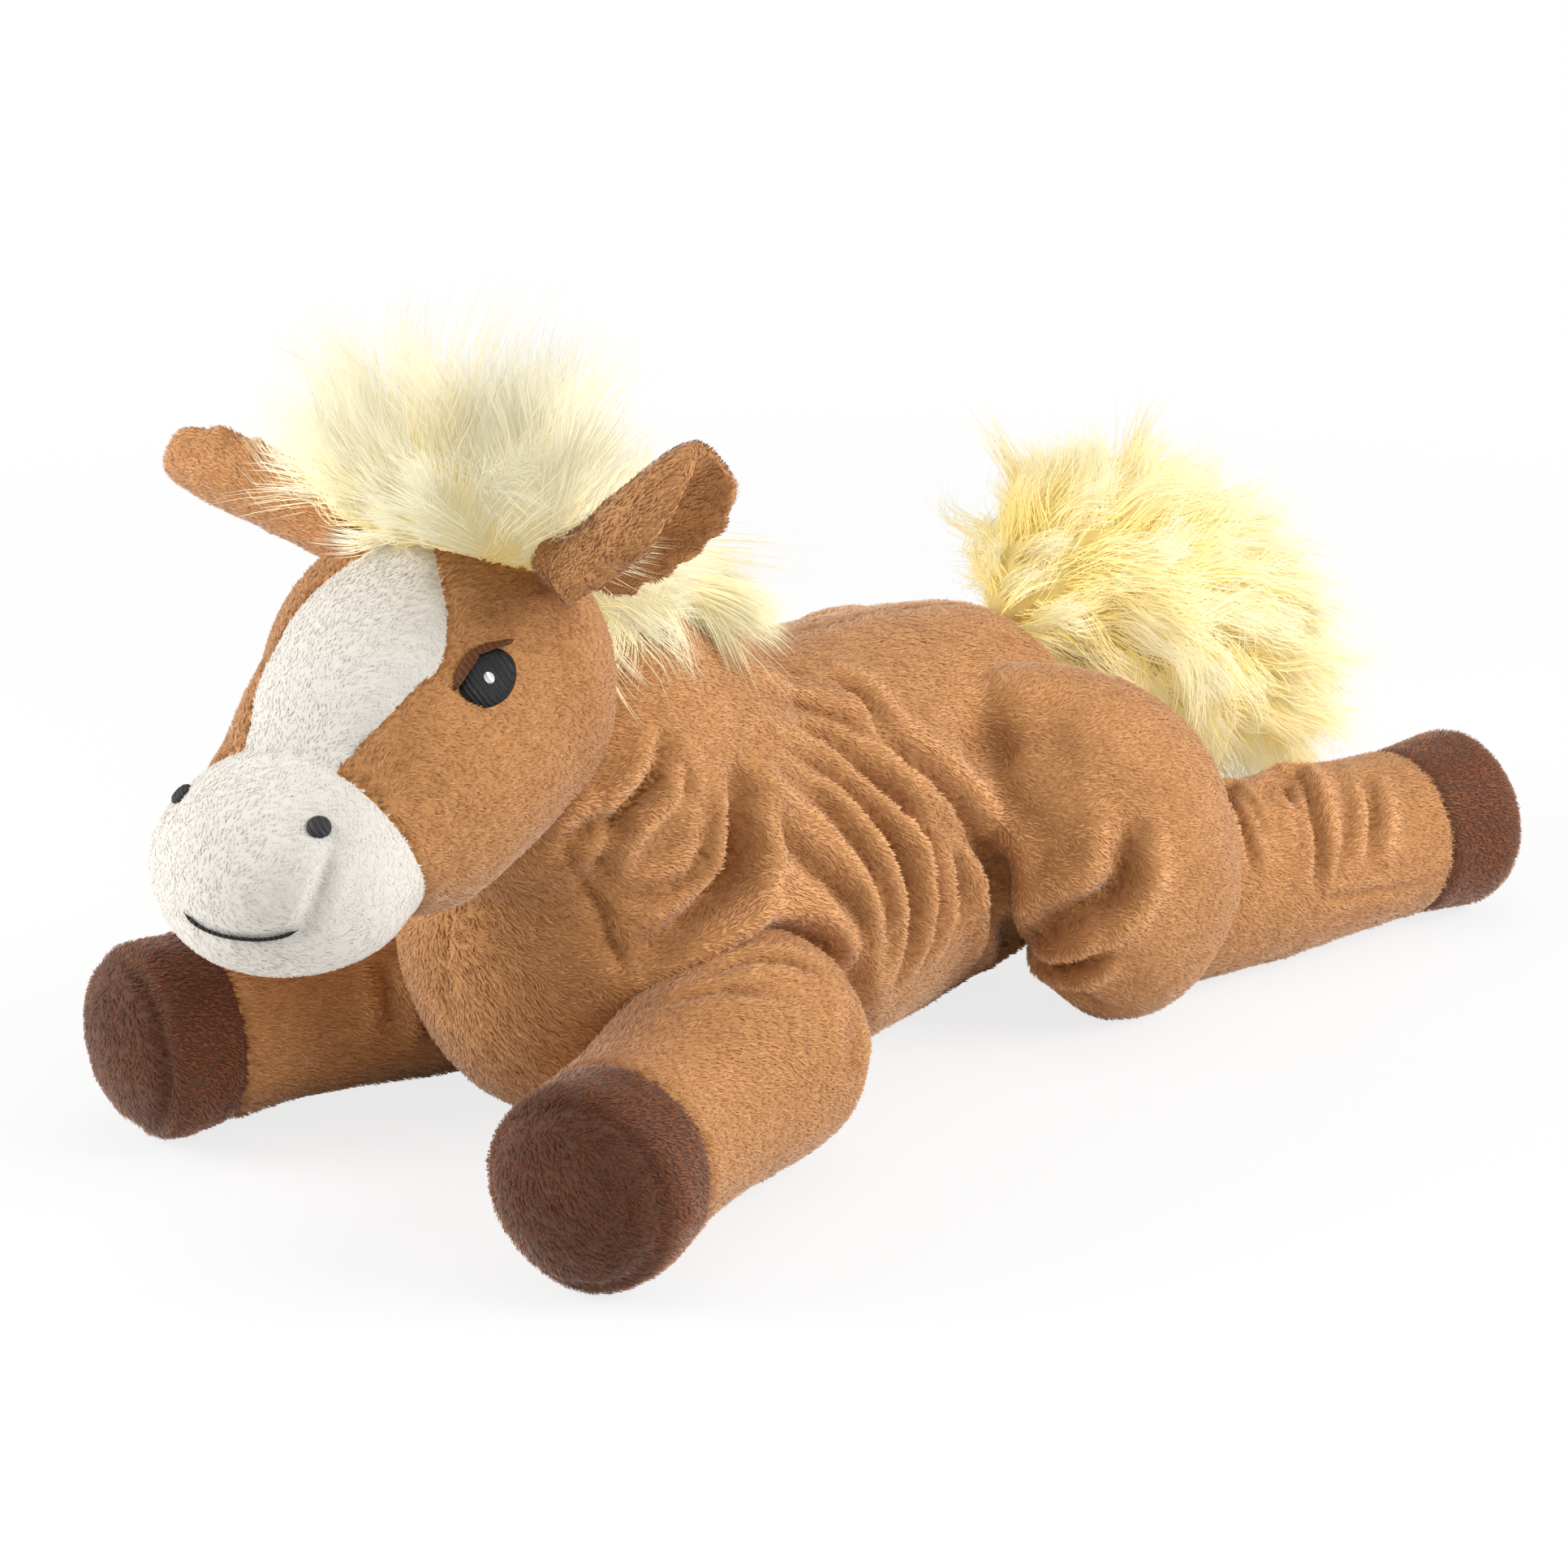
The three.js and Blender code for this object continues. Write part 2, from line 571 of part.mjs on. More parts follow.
const eyeRadius = eyeDiameter / 2;
const browOutline = (sign) => {
  const inner = eyeRadius + seamGap;
  const outer = inner + browWidth;
  const start = browStart * radians;
  const sweep = browLength / (inner + browWidth / 2);
  const arc = (radius, share) => new THREE.Vector2(
    radius * Math.cos(start + sweep * share), -sign * radius * Math.sin(start + sweep * share));
  const shares = [0, 0.25, 0.5, 0.75, 1];
  return [...shares.map((t) => arc(inner, t)), ...shares.map((t) => arc(outer, 1 - t))];
};
for (const [name, sign] of [['left', 1], ['right', -1]]) {
  const from = onHead(0, -headRadius * 0.32, headRadius * 0.06);
  const aim = headDirection(sign * 0.74, -0.16, 0.5);
  const forward = headDirection(0, -1, 0);
  const eyeHeight = seamGap + threadHeight;
  const eye = onSkin(seamGap, eyeHeight, prism(roundOutline(eyeRadius), from, aim, forward, headRadius * 2));
  const glint = onSkin(eyeHeight + seamGap, eyeHeight + seamGap + threadHeight / 2,
    prism(roundOutline(eyeGlintDiameter / 2, 8), from, aim, forward, headRadius * 2));
  const brow = onSkin(seamGap, eyeHeight, prism(browOutline(sign), from, aim, forward, headRadius * 2));
  toy.add(meshOf(`eye_${name}`, largest(eye), colours.thread, 0.6));
  toy.add(meshOf(`eye_glint_${name}`, largest(glint), colours.glint, 0.6));
  toy.add(meshOf(`brow_${name}`, largest(brow), colours.brow, 0.6));
  const snout = onHead(0, -faceLength, 0);
  const nostril = onSkin(seamGap, eyeHeight, prism(roundOutline(nostrilDiameter / 2, 10), snout,
    headDirection(sign * 0.72, -0.5, 0.5), forward, muzzleLength * 2));
  toy.add(meshOf(`nostril_${name}`, largest(nostril), colours.thread, 0.6));
}
const smileShares = [-1, -0.6, -0.2, 0.2, 0.6, 1];
const smileSag = smileWidth * 0.13;
const smileRow = (offset) => smileShares.map((u) => new THREE.Vector2(
  u * smileWidth / 2, smileSag * (u * u - 1) + offset));
const smileOutline = [...smileRow(-smileThread / 2), ...smileRow(smileThread / 2).reverse()];
const smile = onSkin(seamGap, seamGap + threadHeight, prism(smileOutline,
  onHead(0, -faceLength, muzzleHeight * 0.02), headDirection(0, -1, 0), headSide, muzzleLength * 2));
toy.add(meshOf('smile_stitch', largest(smile), colours.thread, 0.6));

// Long fur: the forelock on the head, the mane on the neck and the tail on a ball root

const forelock = stuffedForm({
  spine: [
    onHead(0, -headRadius * 0.5, headRadius * 0.74),
    onHead(0, -headRadius * 0.1, headRadius + forelockHeight * 0.4),
    onHead(0, headRadius * 0.1, headRadius + forelockHeight),
  ],
  across: headSide,
  halfWidth: forelockWidth / 2,
  halfHeight: forelockDepth / 2,
  rowShares: [[0, 0.5, 0.6], [0.35, 0.68, 0.85], [0.75, 1, 1], [1, 0.86, 0.85]],
  capShares: [0.25, 0.4],
  rings: 10,
  sides: 14,
});
toy.add(meshOf('forelock', largest(grown(forelock, 0).subtract(headGrown(seamGap)).subtract(earSeats)),
  colours.fur));

const mane = stuffedForm({
  spine: [
    skull.clone().add(place(0, headRadius * 0.85, headRadius * 0.66)),
    place(headAside * 0.5, -headForward * 0.46, headHeight * 1.04),
    place(0, -headForward * 0.14, bodyHeight * 1.03),
  ],
  halfWidth: maneThickness / 2,
  halfHeight: maneThickness * 0.6,
  rowShares: [[0, 0.9, 1], [0.5, 1, 1], [1, 0.6, 0.5]],
  capShares: [0.25, 0.4],
  rings: 10,
  sides: 12,
});
toy.add(meshOf('mane', largest(grown(mane, 0).subtract(bodyClear)
  .subtract(ball(skull, headRadius + 2 * turningGap, skullDetail))), colours.fur));

const tailEnd = place(0, tailRoot.y + tailLength * 0.86, bodyHeight * 0.34);
const tail = stuffedForm({
  spine: [
    tailRoot.clone().add(place(0, 0, tailRootRadius * 0.3)),
    place(0, tailRoot.y + tailLength * 0.2, bodyHeight),
    place(0, tailRoot.y + tailLength * 0.53, bodyHeight * 0.72), tailEnd,
  ],
  halfWidth: tailWidth / 2,
  halfHeight: tailWidth / 2,
  rowShares: [[0, 0.6, 0.6], [0.3, 1, 1], [0.65, 0.85, 0.9], [1, 0.45, 0.5]],
  capShares: [0.1, 0.3],
  rings: 10,
  sides: 12,
});
const tailBall = ball(tailRoot, tailRootRadius, rootDetail);
const tailClear = bodyClear.subtract(tailBall)
  .add(grown(haunches.left, seamGap)).add(grown(haunches.right, seamGap));
toy.add(meshOf('tail', largest(grown(tail, 0).subtract(tailClear).add(tailBall)), colours.fur));

export default toy;
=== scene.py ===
import json
import math

import bpy
import numpy as np
from bpy.props import FloatProperty, FloatVectorProperty, PointerProperty
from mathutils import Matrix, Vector
from mathutils.bvhtree import BVHTree


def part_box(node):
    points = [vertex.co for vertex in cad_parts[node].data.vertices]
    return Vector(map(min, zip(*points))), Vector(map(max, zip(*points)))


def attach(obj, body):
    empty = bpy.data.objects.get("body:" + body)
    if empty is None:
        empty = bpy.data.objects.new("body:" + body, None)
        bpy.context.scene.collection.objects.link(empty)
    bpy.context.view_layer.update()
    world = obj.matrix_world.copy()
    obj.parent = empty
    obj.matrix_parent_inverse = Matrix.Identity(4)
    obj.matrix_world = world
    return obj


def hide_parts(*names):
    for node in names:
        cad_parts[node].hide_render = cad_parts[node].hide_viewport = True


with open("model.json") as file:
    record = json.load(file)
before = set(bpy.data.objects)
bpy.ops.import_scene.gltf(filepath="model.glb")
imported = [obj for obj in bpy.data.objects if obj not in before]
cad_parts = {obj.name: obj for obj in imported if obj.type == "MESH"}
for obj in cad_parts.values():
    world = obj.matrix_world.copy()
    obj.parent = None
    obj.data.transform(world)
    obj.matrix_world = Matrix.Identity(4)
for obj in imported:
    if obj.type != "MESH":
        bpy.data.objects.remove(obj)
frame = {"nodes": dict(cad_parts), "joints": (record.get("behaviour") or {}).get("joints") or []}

bl_info = {
    "name": "Lying plush horse",
    "version": (1, 0, 0),
    "blender": (4, 5, 0),
    "location": "View3D > Sidebar > Plush horse",
    "description": "Sews the covers, pile, embroidery and long fur of a lying plush horse round its frame",
    "category": "Add Mesh",
}

MM = 0.001
UP = np.array([0.0, 0.0, 1.0])
JOINTS = {joint["name"]: np.array(joint["pos_m"]) for joint in frame["joints"]}
JOINT_AXES = {joint["name"]: np.array(joint["axis"]) for joint in frame["joints"]}


# The photograph: a square picture, seen from the toy's front left and a little above

PHOTO_SIDE = 1932
PHOTO_FOCAL = 4750                        # pixels
PHOTO_TARGET = np.array([12.4, 0, 48.4]) * MM
TARGET_PIXEL = np.array([1010, 1040])
CAMERA_DISTANCE = 836 * MM
CAMERA_AZIMUTH = math.radians(45)
CAMERA_ELEVATION = math.radians(20)
VIEW_BACK = np.array([
    math.sin(CAMERA_AZIMUTH) * math.cos(CAMERA_ELEVATION),
    -math.cos(CAMERA_AZIMUTH) * math.cos(CAMERA_ELEVATION),
    math.sin(CAMERA_ELEVATION)])
VIEW_RIGHT = np.array([math.cos(CAMERA_AZIMUTH), math.sin(CAMERA_AZIMUTH), 0])
VIEW_UP = np.cross(VIEW_BACK, VIEW_RIGHT)
EYE = PHOTO_TARGET + CAMERA_DISTANCE * VIEW_BACK


def unit(vectors):
    length = np.linalg.norm(vectors, axis=-1, keepdims=True)
    return vectors / np.maximum(length, 1e-12)


def pixel_direction(pixel):
    across, down = np.asarray(pixel, float) - TARGET_PIXEL
    return unit(across * VIEW_RIGHT - down * VIEW_UP - PHOTO_FOCAL * VIEW_BACK)


# Surfaces

def smooth_path(points, count):
    """Points spaced evenly along a smooth curve through a few points."""
    points = np.asarray(points, float)
    if len(points) == 2:
        return points[0] + np.linspace(0, 1, count)[:, None] * (points[1] - points[0])
    ends = np.vstack([2 * points[0] - points[1], points, 2 * points[-1] - points[-2]])
    gaps = np.maximum(np.linalg.norm(np.diff(ends, axis=0), axis=1), 1e-9) ** 0.5
    t = np.linspace(0, 1, 60, endpoint=False)[:, None]
    dense = []
    for i in range(1, len(ends) - 2):
        before, gap, after = gaps[i - 1:i + 2]
        a, b, c, d = ends[i - 1:i + 3]
        leave = ((b - a) / before - (c - a) / (before + gap) + (c - b) / gap) * gap
        arrive = ((c - b) / gap - (d - b) / (gap + after) + (d - c) / after) * gap
        dense.append((2 * t**3 - 3 * t**2 + 1) * b + (t**3 - 2 * t**2 + t) * leave
                     + (3 * t**2 - 2 * t**3) * c + (t**3 - t**2) * arrive)
    dense = np.vstack(dense + [points[-1:]])
    run = np.concatenate([[0], np.cumsum(np.linalg.norm(np.diff(dense, axis=0), axis=1))])
    wanted = np.linspace(0, run[-1], count)
    return np.stack([np.interp(wanted, run, dense[:, k]) for k in range(dense.shape[1])], axis=1)


def eased(rows, shares, column):
    """Values read from rows of (share, value, ...) with soft steps between them."""
    rows = np.asarray(rows, float)
    x, y = rows[:, 0], rows[:, column]
    slopes = np.array([(y[min(k + 1, len(x) - 1)] - y[max(k - 1, 0)])
                       / (x[min(k + 1, len(x) - 1)] - x[max(k - 1, 0)]) for k in range(len(x))])
    shares = np.clip(shares, x[0], x[-1])
    i = np.clip(np.searchsorted(x, shares, side="right") - 1, 0, len(x) - 2)
    span = x[i + 1] - x[i]
    t = (shares - x[i]) / span
    return (y[i] + (y[i + 1] - y[i]) * t * t * (3 - 2 * t)
            + span * t * (1 - t) * ((1 - t) * slopes[i] - t * slopes[i + 1]))


def loft(spine, half_width, half_height, row_shares, cap_shares, across=(1, 0, 0), rings=90, sides=72):
    """A stuffed form: rings along a spine, with a round cap at each end."""
    shares = (1 - np.cos(np.pi * np.arange(rings + 1) / rings)) / 2
    path = smooth_path(spine, 600)
    steps = shares * (len(path) - 1)
    low = np.minimum(steps.astype(int), len(path) - 2)
    centre = path[low] + (steps - low)[:, None] * (path[low + 1] - path[low])
    along = unit(path[low + 1] - path[low])
    across = np.asarray(across, float)
    right = unit(across - along * (along @ across)[:, None])
    over = np.cross(right, along)
    start = np.minimum(shares / cap_shares[0], 1)
    end = np.minimum((1 - shares) / cap_shares[1], 1)
    cap = np.sqrt(np.maximum(0, (1 - (1 - start)**2) * (1 - (1 - end)**2)))
    wide = half_width * eased(row_shares, shares, 1) * cap
    high = half_height * eased(row_shares, shares, 2) * cap
    turn = 2 * np.pi * np.arange(sides) / sides
    rows = (centre[:, None] + wide[:, None, None] * np.cos(turn)[None, :, None] * right[:, None]
            + high[:, None, None] * np.sin(turn)[None, :, None] * over[:, None])
    points = np.vstack([centre[:1], rows[1:-1].reshape(-1, 3), centre[-1:]])
    faces = []
    for i in range(rings - 2):
        a = 1 + i * sides + np.arange(sides)
        b = 1 + i * sides + (np.arange(sides) + 1) % sides
        faces.append(np.stack([a, a + sides, b + sides, b], axis=1))
    quads = np.vstack(faces)
    last = len(points) - 1
    first_ring = 1 + np.arange(sides)
    last_ring = last - sides + np.arange(sides)
    caps = [(0, int(a), int(b)) for a, b in zip(first_ring, np.roll(first_ring, -1))]
    caps += [(last, int(b), int(a)) for a, b in zip(last_ring, np.roll(last_ring, -1))]
    return points, [tuple(map(int, q)) for q in quads] + caps


def ring_faces(gaps, sides):
    """Quads between rings of points that follow one another."""
    faces = []
    for i in range(gaps):
        for k in range(sides):
            j = (k + 1) % sides
            faces.append((i * sides + k, i * sides + j, (i + 1) * sides + j, (i + 1) * sides + k))
    return faces


def plain_mesh(name, points, faces):
    mesh = bpy.data.meshes.new(name)
    mesh.from_pydata([tuple(p) for p in np.asarray(points, float)], [], faces)
    mesh.update()
    return mesh


def ball(centre, radius):
    centre = np.asarray(centre, float)
    span = np.array([0, 0, radius])
    return loft([centre - span, centre + span], radius, radius, [(0, 1, 1), (1, 1, 1)], (0.5, 0.5),
                rings=36, sides=48)


class Surface:
    """A closed skin of small quads with the forms that it was fused from."""

    def __init__(self, points, quads):
        self.points = points
        self.quads = quads
        edges = np.vstack([quads[:, [0, 1]], quads[:, [1, 2]], quads[:, [2, 3]], quads[:, [3, 0]]])
        self.edges = np.unique(np.sort(edges, axis=1), axis=0)
        self.tree = None
        # Painted shade down in creases and seams, and painted light on fold crests, carried into the pile's
        # tone
        self.painted_crease_shade = np.zeros(len(points))
        self.painted_crest_light = np.zeros(len(points))

    @classmethod
    def fused(cls, forms, voxel):
        points, faces, offset = [], [], 0
        for form_points, form_faces in forms:
            points.append(form_points)
            faces += [tuple(k + offset for k in face) for face in form_faces]
            offset += len(form_points)
        mesh = plain_mesh("fused", np.vstack(points), faces)
        block = bpy.data.objects.new("fused", mesh)
        bpy.context.collection.objects.link(block)
        remesh = block.modifiers.new("skin", "REMESH")
        remesh.mode = "VOXEL"
        remesh.voxel_size = voxel
        graph = bpy.context.evaluated_depsgraph_get()
        skin = bpy.data.meshes.new_from_object(block.evaluated_get(graph))
        found = np.empty(len(skin.vertices) * 3)
        skin.vertices.foreach_get("co", found)
        corners = np.empty(len(skin.loops), int)
        skin.loops.foreach_get("vertex_index", corners)
        bpy.data.objects.remove(block)
        bpy.data.meshes.remove(mesh)
        bpy.data.meshes.remove(skin)
        return cls(found.reshape(-1, 3), corners.reshape(-1, 4))

    def relax(self, rounds, strength=0.5):
        a, b = self.edges.T
        count = np.bincount(np.concatenate([a, b]), minlength=len(self.points))[:, None]
        for _ in range(rounds):
            total = np.stack([
                np.bincount(a, self.points[b, k], len(self.points))
                + np.bincount(b, self.points[a, k], len(self.points)) for k in range(3)], axis=1)
            self.points = self.points + strength * (total / count - self.points)
        self.tree = None

    def normals(self):
        p = self.points[self.quads]
        flat = np.cross(p[:, 2] - p[:, 0], p[:, 3] - p[:, 1])
        total = np.stack([
            sum(np.bincount(self.quads[:, j], flat[:, k], len(self.points)) for j in range(4))
            for k in range(3)], axis=1)
        return unit(total)

    def push(self, heights):
        self.points = self.points + self.normals() * heights[:, None]
        self.tree = None

    def snap(self, keep, onto):
        """Moves the points on the border of the kept faces onto a seam."""
        kept = np.zeros(len(self.points), bool)
        left = np.zeros(len(self.points), bool)
        kept[self.quads[keep]] = True
        left[self.quads[~keep]] = True
        border = kept & left
        self.points[border] = onto(self.points[border])
        self.tree = None

    def lookup(self):
        if self.tree is None:
            self.tree = BVHTree.FromPolygons(self.points.tolist(), self.quads.tolist())
        return self.tree

    def nearest(self, points):
        tree = self.lookup()
        return np.array([tuple(tree.find_nearest(Vector(p))[0]) for p in points])

    def traced(self, pixels, spacing=7):
        """Pixels of the photograph laid on this skin, evenly filled in between."""
        pixels = np.asarray(pixels, float)
        length = np.linalg.norm(np.diff(pixels, axis=0), axis=1).sum()
        tree = self.lookup()
        found = []
        for pixel in smooth_path(pixels, max(int(length / spacing), 3)):
            direction = pixel_direction(pixel)
            hit = tree.ray_cast(Vector(EYE), Vector(direction))[0]
            if hit is None:
                reach = CAMERA_DISTANCE
                for _ in range(4):
                    near = tree.find_nearest(Vector(EYE + reach * direction))[0]
                    reach = float((np.array(near) - EYE) @ direction)
                hit = near
            found.append(tuple(hit))
        return np.array(found)

    def rested(self):
        self.points[:, 2] = np.maximum(self.points[:, 2], 0)
        self.tree = None


BESIDE_REACH = 30 * MM                    # points further than this from a path are left out


def beside(points, path):
    """How far each point is from a path, and how far along it, from 0 to 1."""
    starts, ends = path[:-1], path[1:]
    best = np.full(len(points), 1e9)
    where = np.zeros(len(points))
    low = path.min(axis=0) - BESIDE_REACH
    high = path.max(axis=0) + BESIDE_REACH
    near = np.where(np.all((points > low) & (points < high), axis=1))[0]
    chosen = points[near]
    near_best = np.full(len(near), 1e9)
    near_where = np.zeros(len(near))
    for i, (a, b) in enumerate(zip(starts, ends)):
        span = b - a
        t = np.clip((chosen - a) @ span / max(span @ span, 1e-12), 0, 1)
        distance = np.linalg.norm(chosen - a - t[:, None] * span, axis=1)
        closer = distance < near_best
        near_best[closer] = distance[closer]
        near_where[closer] = (i + t[closer]) / len(starts)
    best[near] = near_best
    where[near] = near_where
    return best, where


SHARP_FOLD_DEPTH = 3.5 * MM               # a fold this deep gets the darkest painted shade in its pile
SHARP_FOLD_WIDTH = 4 * MM
SEAM_SHADE = 0.5                          # how dark the painted shade in a seam is, beside a deep fold's
FAR_AWAY = 1.0                            # further than any point of the toy is from a seam


def add_fold(skin, heights, path, depth, width, crest=0.45):
    """A crease along a path, with a soft crest on each side and ends that fade out, with painted shade down
    in the crease and painted light on its crests.
    """
    distance, where = beside(skin.points, path)
    fade = np.sin(np.pi * np.clip(where, 0, 1)) ** 0.7
    valley = np.exp(-(distance / width) ** 2)
    ridge = np.exp(-((distance - 2.1 * width) / (1.1 * width)) ** 2)
    heights += depth * fade * (crest * ridge - valley)
    # How strongly a fold is painted, strongest for deep narrow folds: painted shade in its valley, painted
    # light on its crests
    sharp = np.clip(depth / SHARP_FOLD_DEPTH, 0, 1) * np.clip(SHARP_FOLD_WIDTH / width - 0.4, 0, 1)
    skin.painted_crease_shade = np.maximum(skin.painted_crease_shade, fade * valley * sharp)
    skin.painted_crest_light = np.maximum(skin.painted_crest_light, fade * ridge * sharp)


def add_seam(skin, heights, distance, depth, width):
    """A narrow dip along a seam, with painted shade darkening the pile down in it."""
    dip = np.exp(-(distance / width) ** 2)
    heights -= depth * dip
    skin.painted_crease_shade = np.maximum(skin.painted_crease_shade, SEAM_SHADE * dip)


# Noise that is the same on every run

class Lattice:
    """Smooth random values in space."""

    def __init__(self, seed):
        self.values = np.random.default_rng(seed).uniform(-1, 1, (32, 32, 32))

    def at(self, points, size):
        q = np.asarray(points) / size + 1000
        cell = np.floor(q).astype(int)
        t = q - cell
        t = t * t * (3 - 2 * t)
        total = 0
        for corner in range(8):
            step = np.array([corner & 1, corner >> 1 & 1, corner >> 2 & 1])
            weight = np.prod(np.where(step, t, 1 - t), axis=1)
            index = (cell + step) % 32
            total = total + weight * self.values[index[:, 0], index[:, 1], index[:, 2]]
        return total


def lumps(skin, seed, *layers):
    """The soft unevenness of stuffed cloth, in layers of a height and a size in millimetres."""
    lattice = Lattice(seed)
    return sum(height * MM * lattice.at(skin.points, size * MM) for height, size in layers)


# Materials

class Value:
    """A shader socket that takes part in sums."""

    def __init__(self, finish, socket):
        self.finish = finish
        self.socket = socket

    def sum(self, operation, *others):
        values = dict(enumerate(others))
        return self.finish.node("ShaderNodeMath", {"operation": operation}, values)

    def __add__(self, other):
        return self.sum("ADD", self, other)

    def __sub__(self, other):
        return self.sum("SUBTRACT", self, other)

    def __mul__(self, other):
        return self.sum("MULTIPLY", self, other)

    def __rsub__(self, other):
        return self.sum("SUBTRACT", other, self)

    __radd__ = __add__
    __rmul__ = __mul__


class Finish:
    """The nodes of a material or of the world."""

    def __init__(self, owner):
        owner.use_nodes = True
        self.owner = owner
        self.tree = owner.node_tree
        self.tree.nodes.clear()

    def node(self, kind, settings=None, inputs=None, output=0):
        made = self.tree.nodes.new(kind)
        for key, setting in (settings or {}).items():
            if key == "stops":
                ramp = made.color_ramp
                while len(ramp.elements) < len(setting):
                    ramp.elements.new(1)
                for element, (position, colour) in zip(ramp.elements, setting):
                    element.position = position
                    element.color = (*colour, 1)
            else:
                setattr(made, key, setting)
        for key, value in (inputs or {}).items():
            if isinstance(value, Value):
                self.tree.links.new(value.socket, made.inputs[key])
            else:
                made.inputs[key].default_value = value
        return Value(self, made.outputs[output]) if len(made.outputs) else None

    def place(self):
        return self.node("ShaderNodeNewGeometry", output="Position")

    def noise(self, scale, detail=3, roughness=0.5, at=None):
        return self.node("ShaderNodeTexNoise", {}, {
            "Vector": at or self.place(), "Scale": scale, "Detail": detail, "Roughness": roughness})

    def mixed(self, factor, low, high):
        return self.node("ShaderNodeMix", {"data_type": "RGBA"}, {0: factor, 6: low, 7: high}, output=2)

    def surface(self, **inputs):
        named = {key.replace("_", " "): value for key, value in inputs.items()}
        shader = self.node("ShaderNodeBsdfPrincipled", {}, named)
        self.node("ShaderNodeOutputMaterial", {}, {"Surface": shader})
        return self.owner


def material_finish(name):
    return Finish(bpy.data.materials.new(name))


def made_once(name, make):
    """The material of this name, made if it isn't there yet."""
    return bpy.data.materials.get(name) or make(name)


def linear(colour):
    """A colour as the eye names it, 0 to 1, turned into light."""
    colour = np.asarray(colour, float)
    return tuple(np.where(colour <= 0.04045, colour / 12.92, ((colour + 0.055) / 1.055) ** 2.4))


def shaded(colour, factor):
    return (*(float(c) * factor for c in colour[:3]), 1)


def cloth_finish(name, colour, depth=0.8, mottle=0.22):
    """Backing cloth seen between the fibres of the pile, darkened by depth as painted shade between the
    fibres.
    """
    finish = material_finish(name)
    broad = finish.noise(60, 2)
    fine = finish.noise(900, 3, 0.6)
    shade = broad * 0.5 + fine * 0.5
    # depth darkens the cloth below its own colour: painted shade between the fibres
    tone = finish.mixed(shade, shaded(colour, depth - mottle), shaded(colour, depth + mottle))
    bump = finish.node("ShaderNodeBump", {}, {"Strength": 0.5, "Distance": 0.0004, "Height": fine})
    return finish.surface(
        Base_Color=tone, Roughness=0.95, Sheen_Weight=0.25, Sheen_Roughness=0.5, Normal=bump)


def fibre_finish(name, dark, light, root=0.7, roughness=0.8, sheen=0.25, sheen_colour=(1, 0.78, 0.58)):
    """Fibres: the texture's u is a tuft's tone, random with the painted shade and light of the folds in it,
    and its v runs from root to tip.
    """
    finish = material_finish(name)
    texture = finish.node("ShaderNodeUVMap", {"uv_map": "OFBake"})
    own = finish.node("ShaderNodeSeparateXYZ", {}, {0: texture})
    along = Value(finish, own.socket.node.outputs[1])
    tone = finish.mixed(own, (*map(float, dark), 1), (*map(float, light), 1))
    # Fibres darken towards their roots, down to the share root: painted shade deep in the pile
    rise = finish.node("ShaderNodeMath", {"operation": "MULTIPLY", "use_clamp": True}, {0: along, 1: 1.8})
    scaled = finish.node("ShaderNodeVectorMath", {"operation": "SCALE"}, {
        0: tone, "Scale": rise * (1 - root) + root})
    return finish.surface(
        Base_Color=scaled, Roughness=roughness, Sheen_Weight=sheen, Sheen_Roughness=0.4,
        Sheen_Tint=(*sheen_colour, 1), Specular_IOR_Level=0.15)


def thread_finish(name, colour, roughness=0.55):
    """Rows of embroidery thread, with painted shade in their grooves and painted highlights on their tops."""
    finish = material_finish(name)
    rows = finish.node("ShaderNodeTexWave", {"wave_type": "BANDS", "bands_direction": "DIAGONAL"}, {
        "Vector": finish.place(), "Scale": 420, "Distortion": 1.5, "Detail": 2})
    height = finish.node("ShaderNodeMath", {"operation": "ADD"}, {0: rows, 1: finish.noise(1800) * 0.4})
    # Rows darker in their grooves and lighter on top, in step with the bump: painted shade and painted
    # highlight
    tone = finish.mixed(rows, shaded(colour, 0.7), shaded(colour, 1.25))
    bump = finish.node("ShaderNodeBump", {}, {"Strength": 0.6, "Distance": 0.0003, "Height": height})
    return finish.surface(Base_Color=tone, Roughness=roughness, Specular_IOR_Level=0.3, Normal=bump)


# Sizes and colours that a user would change

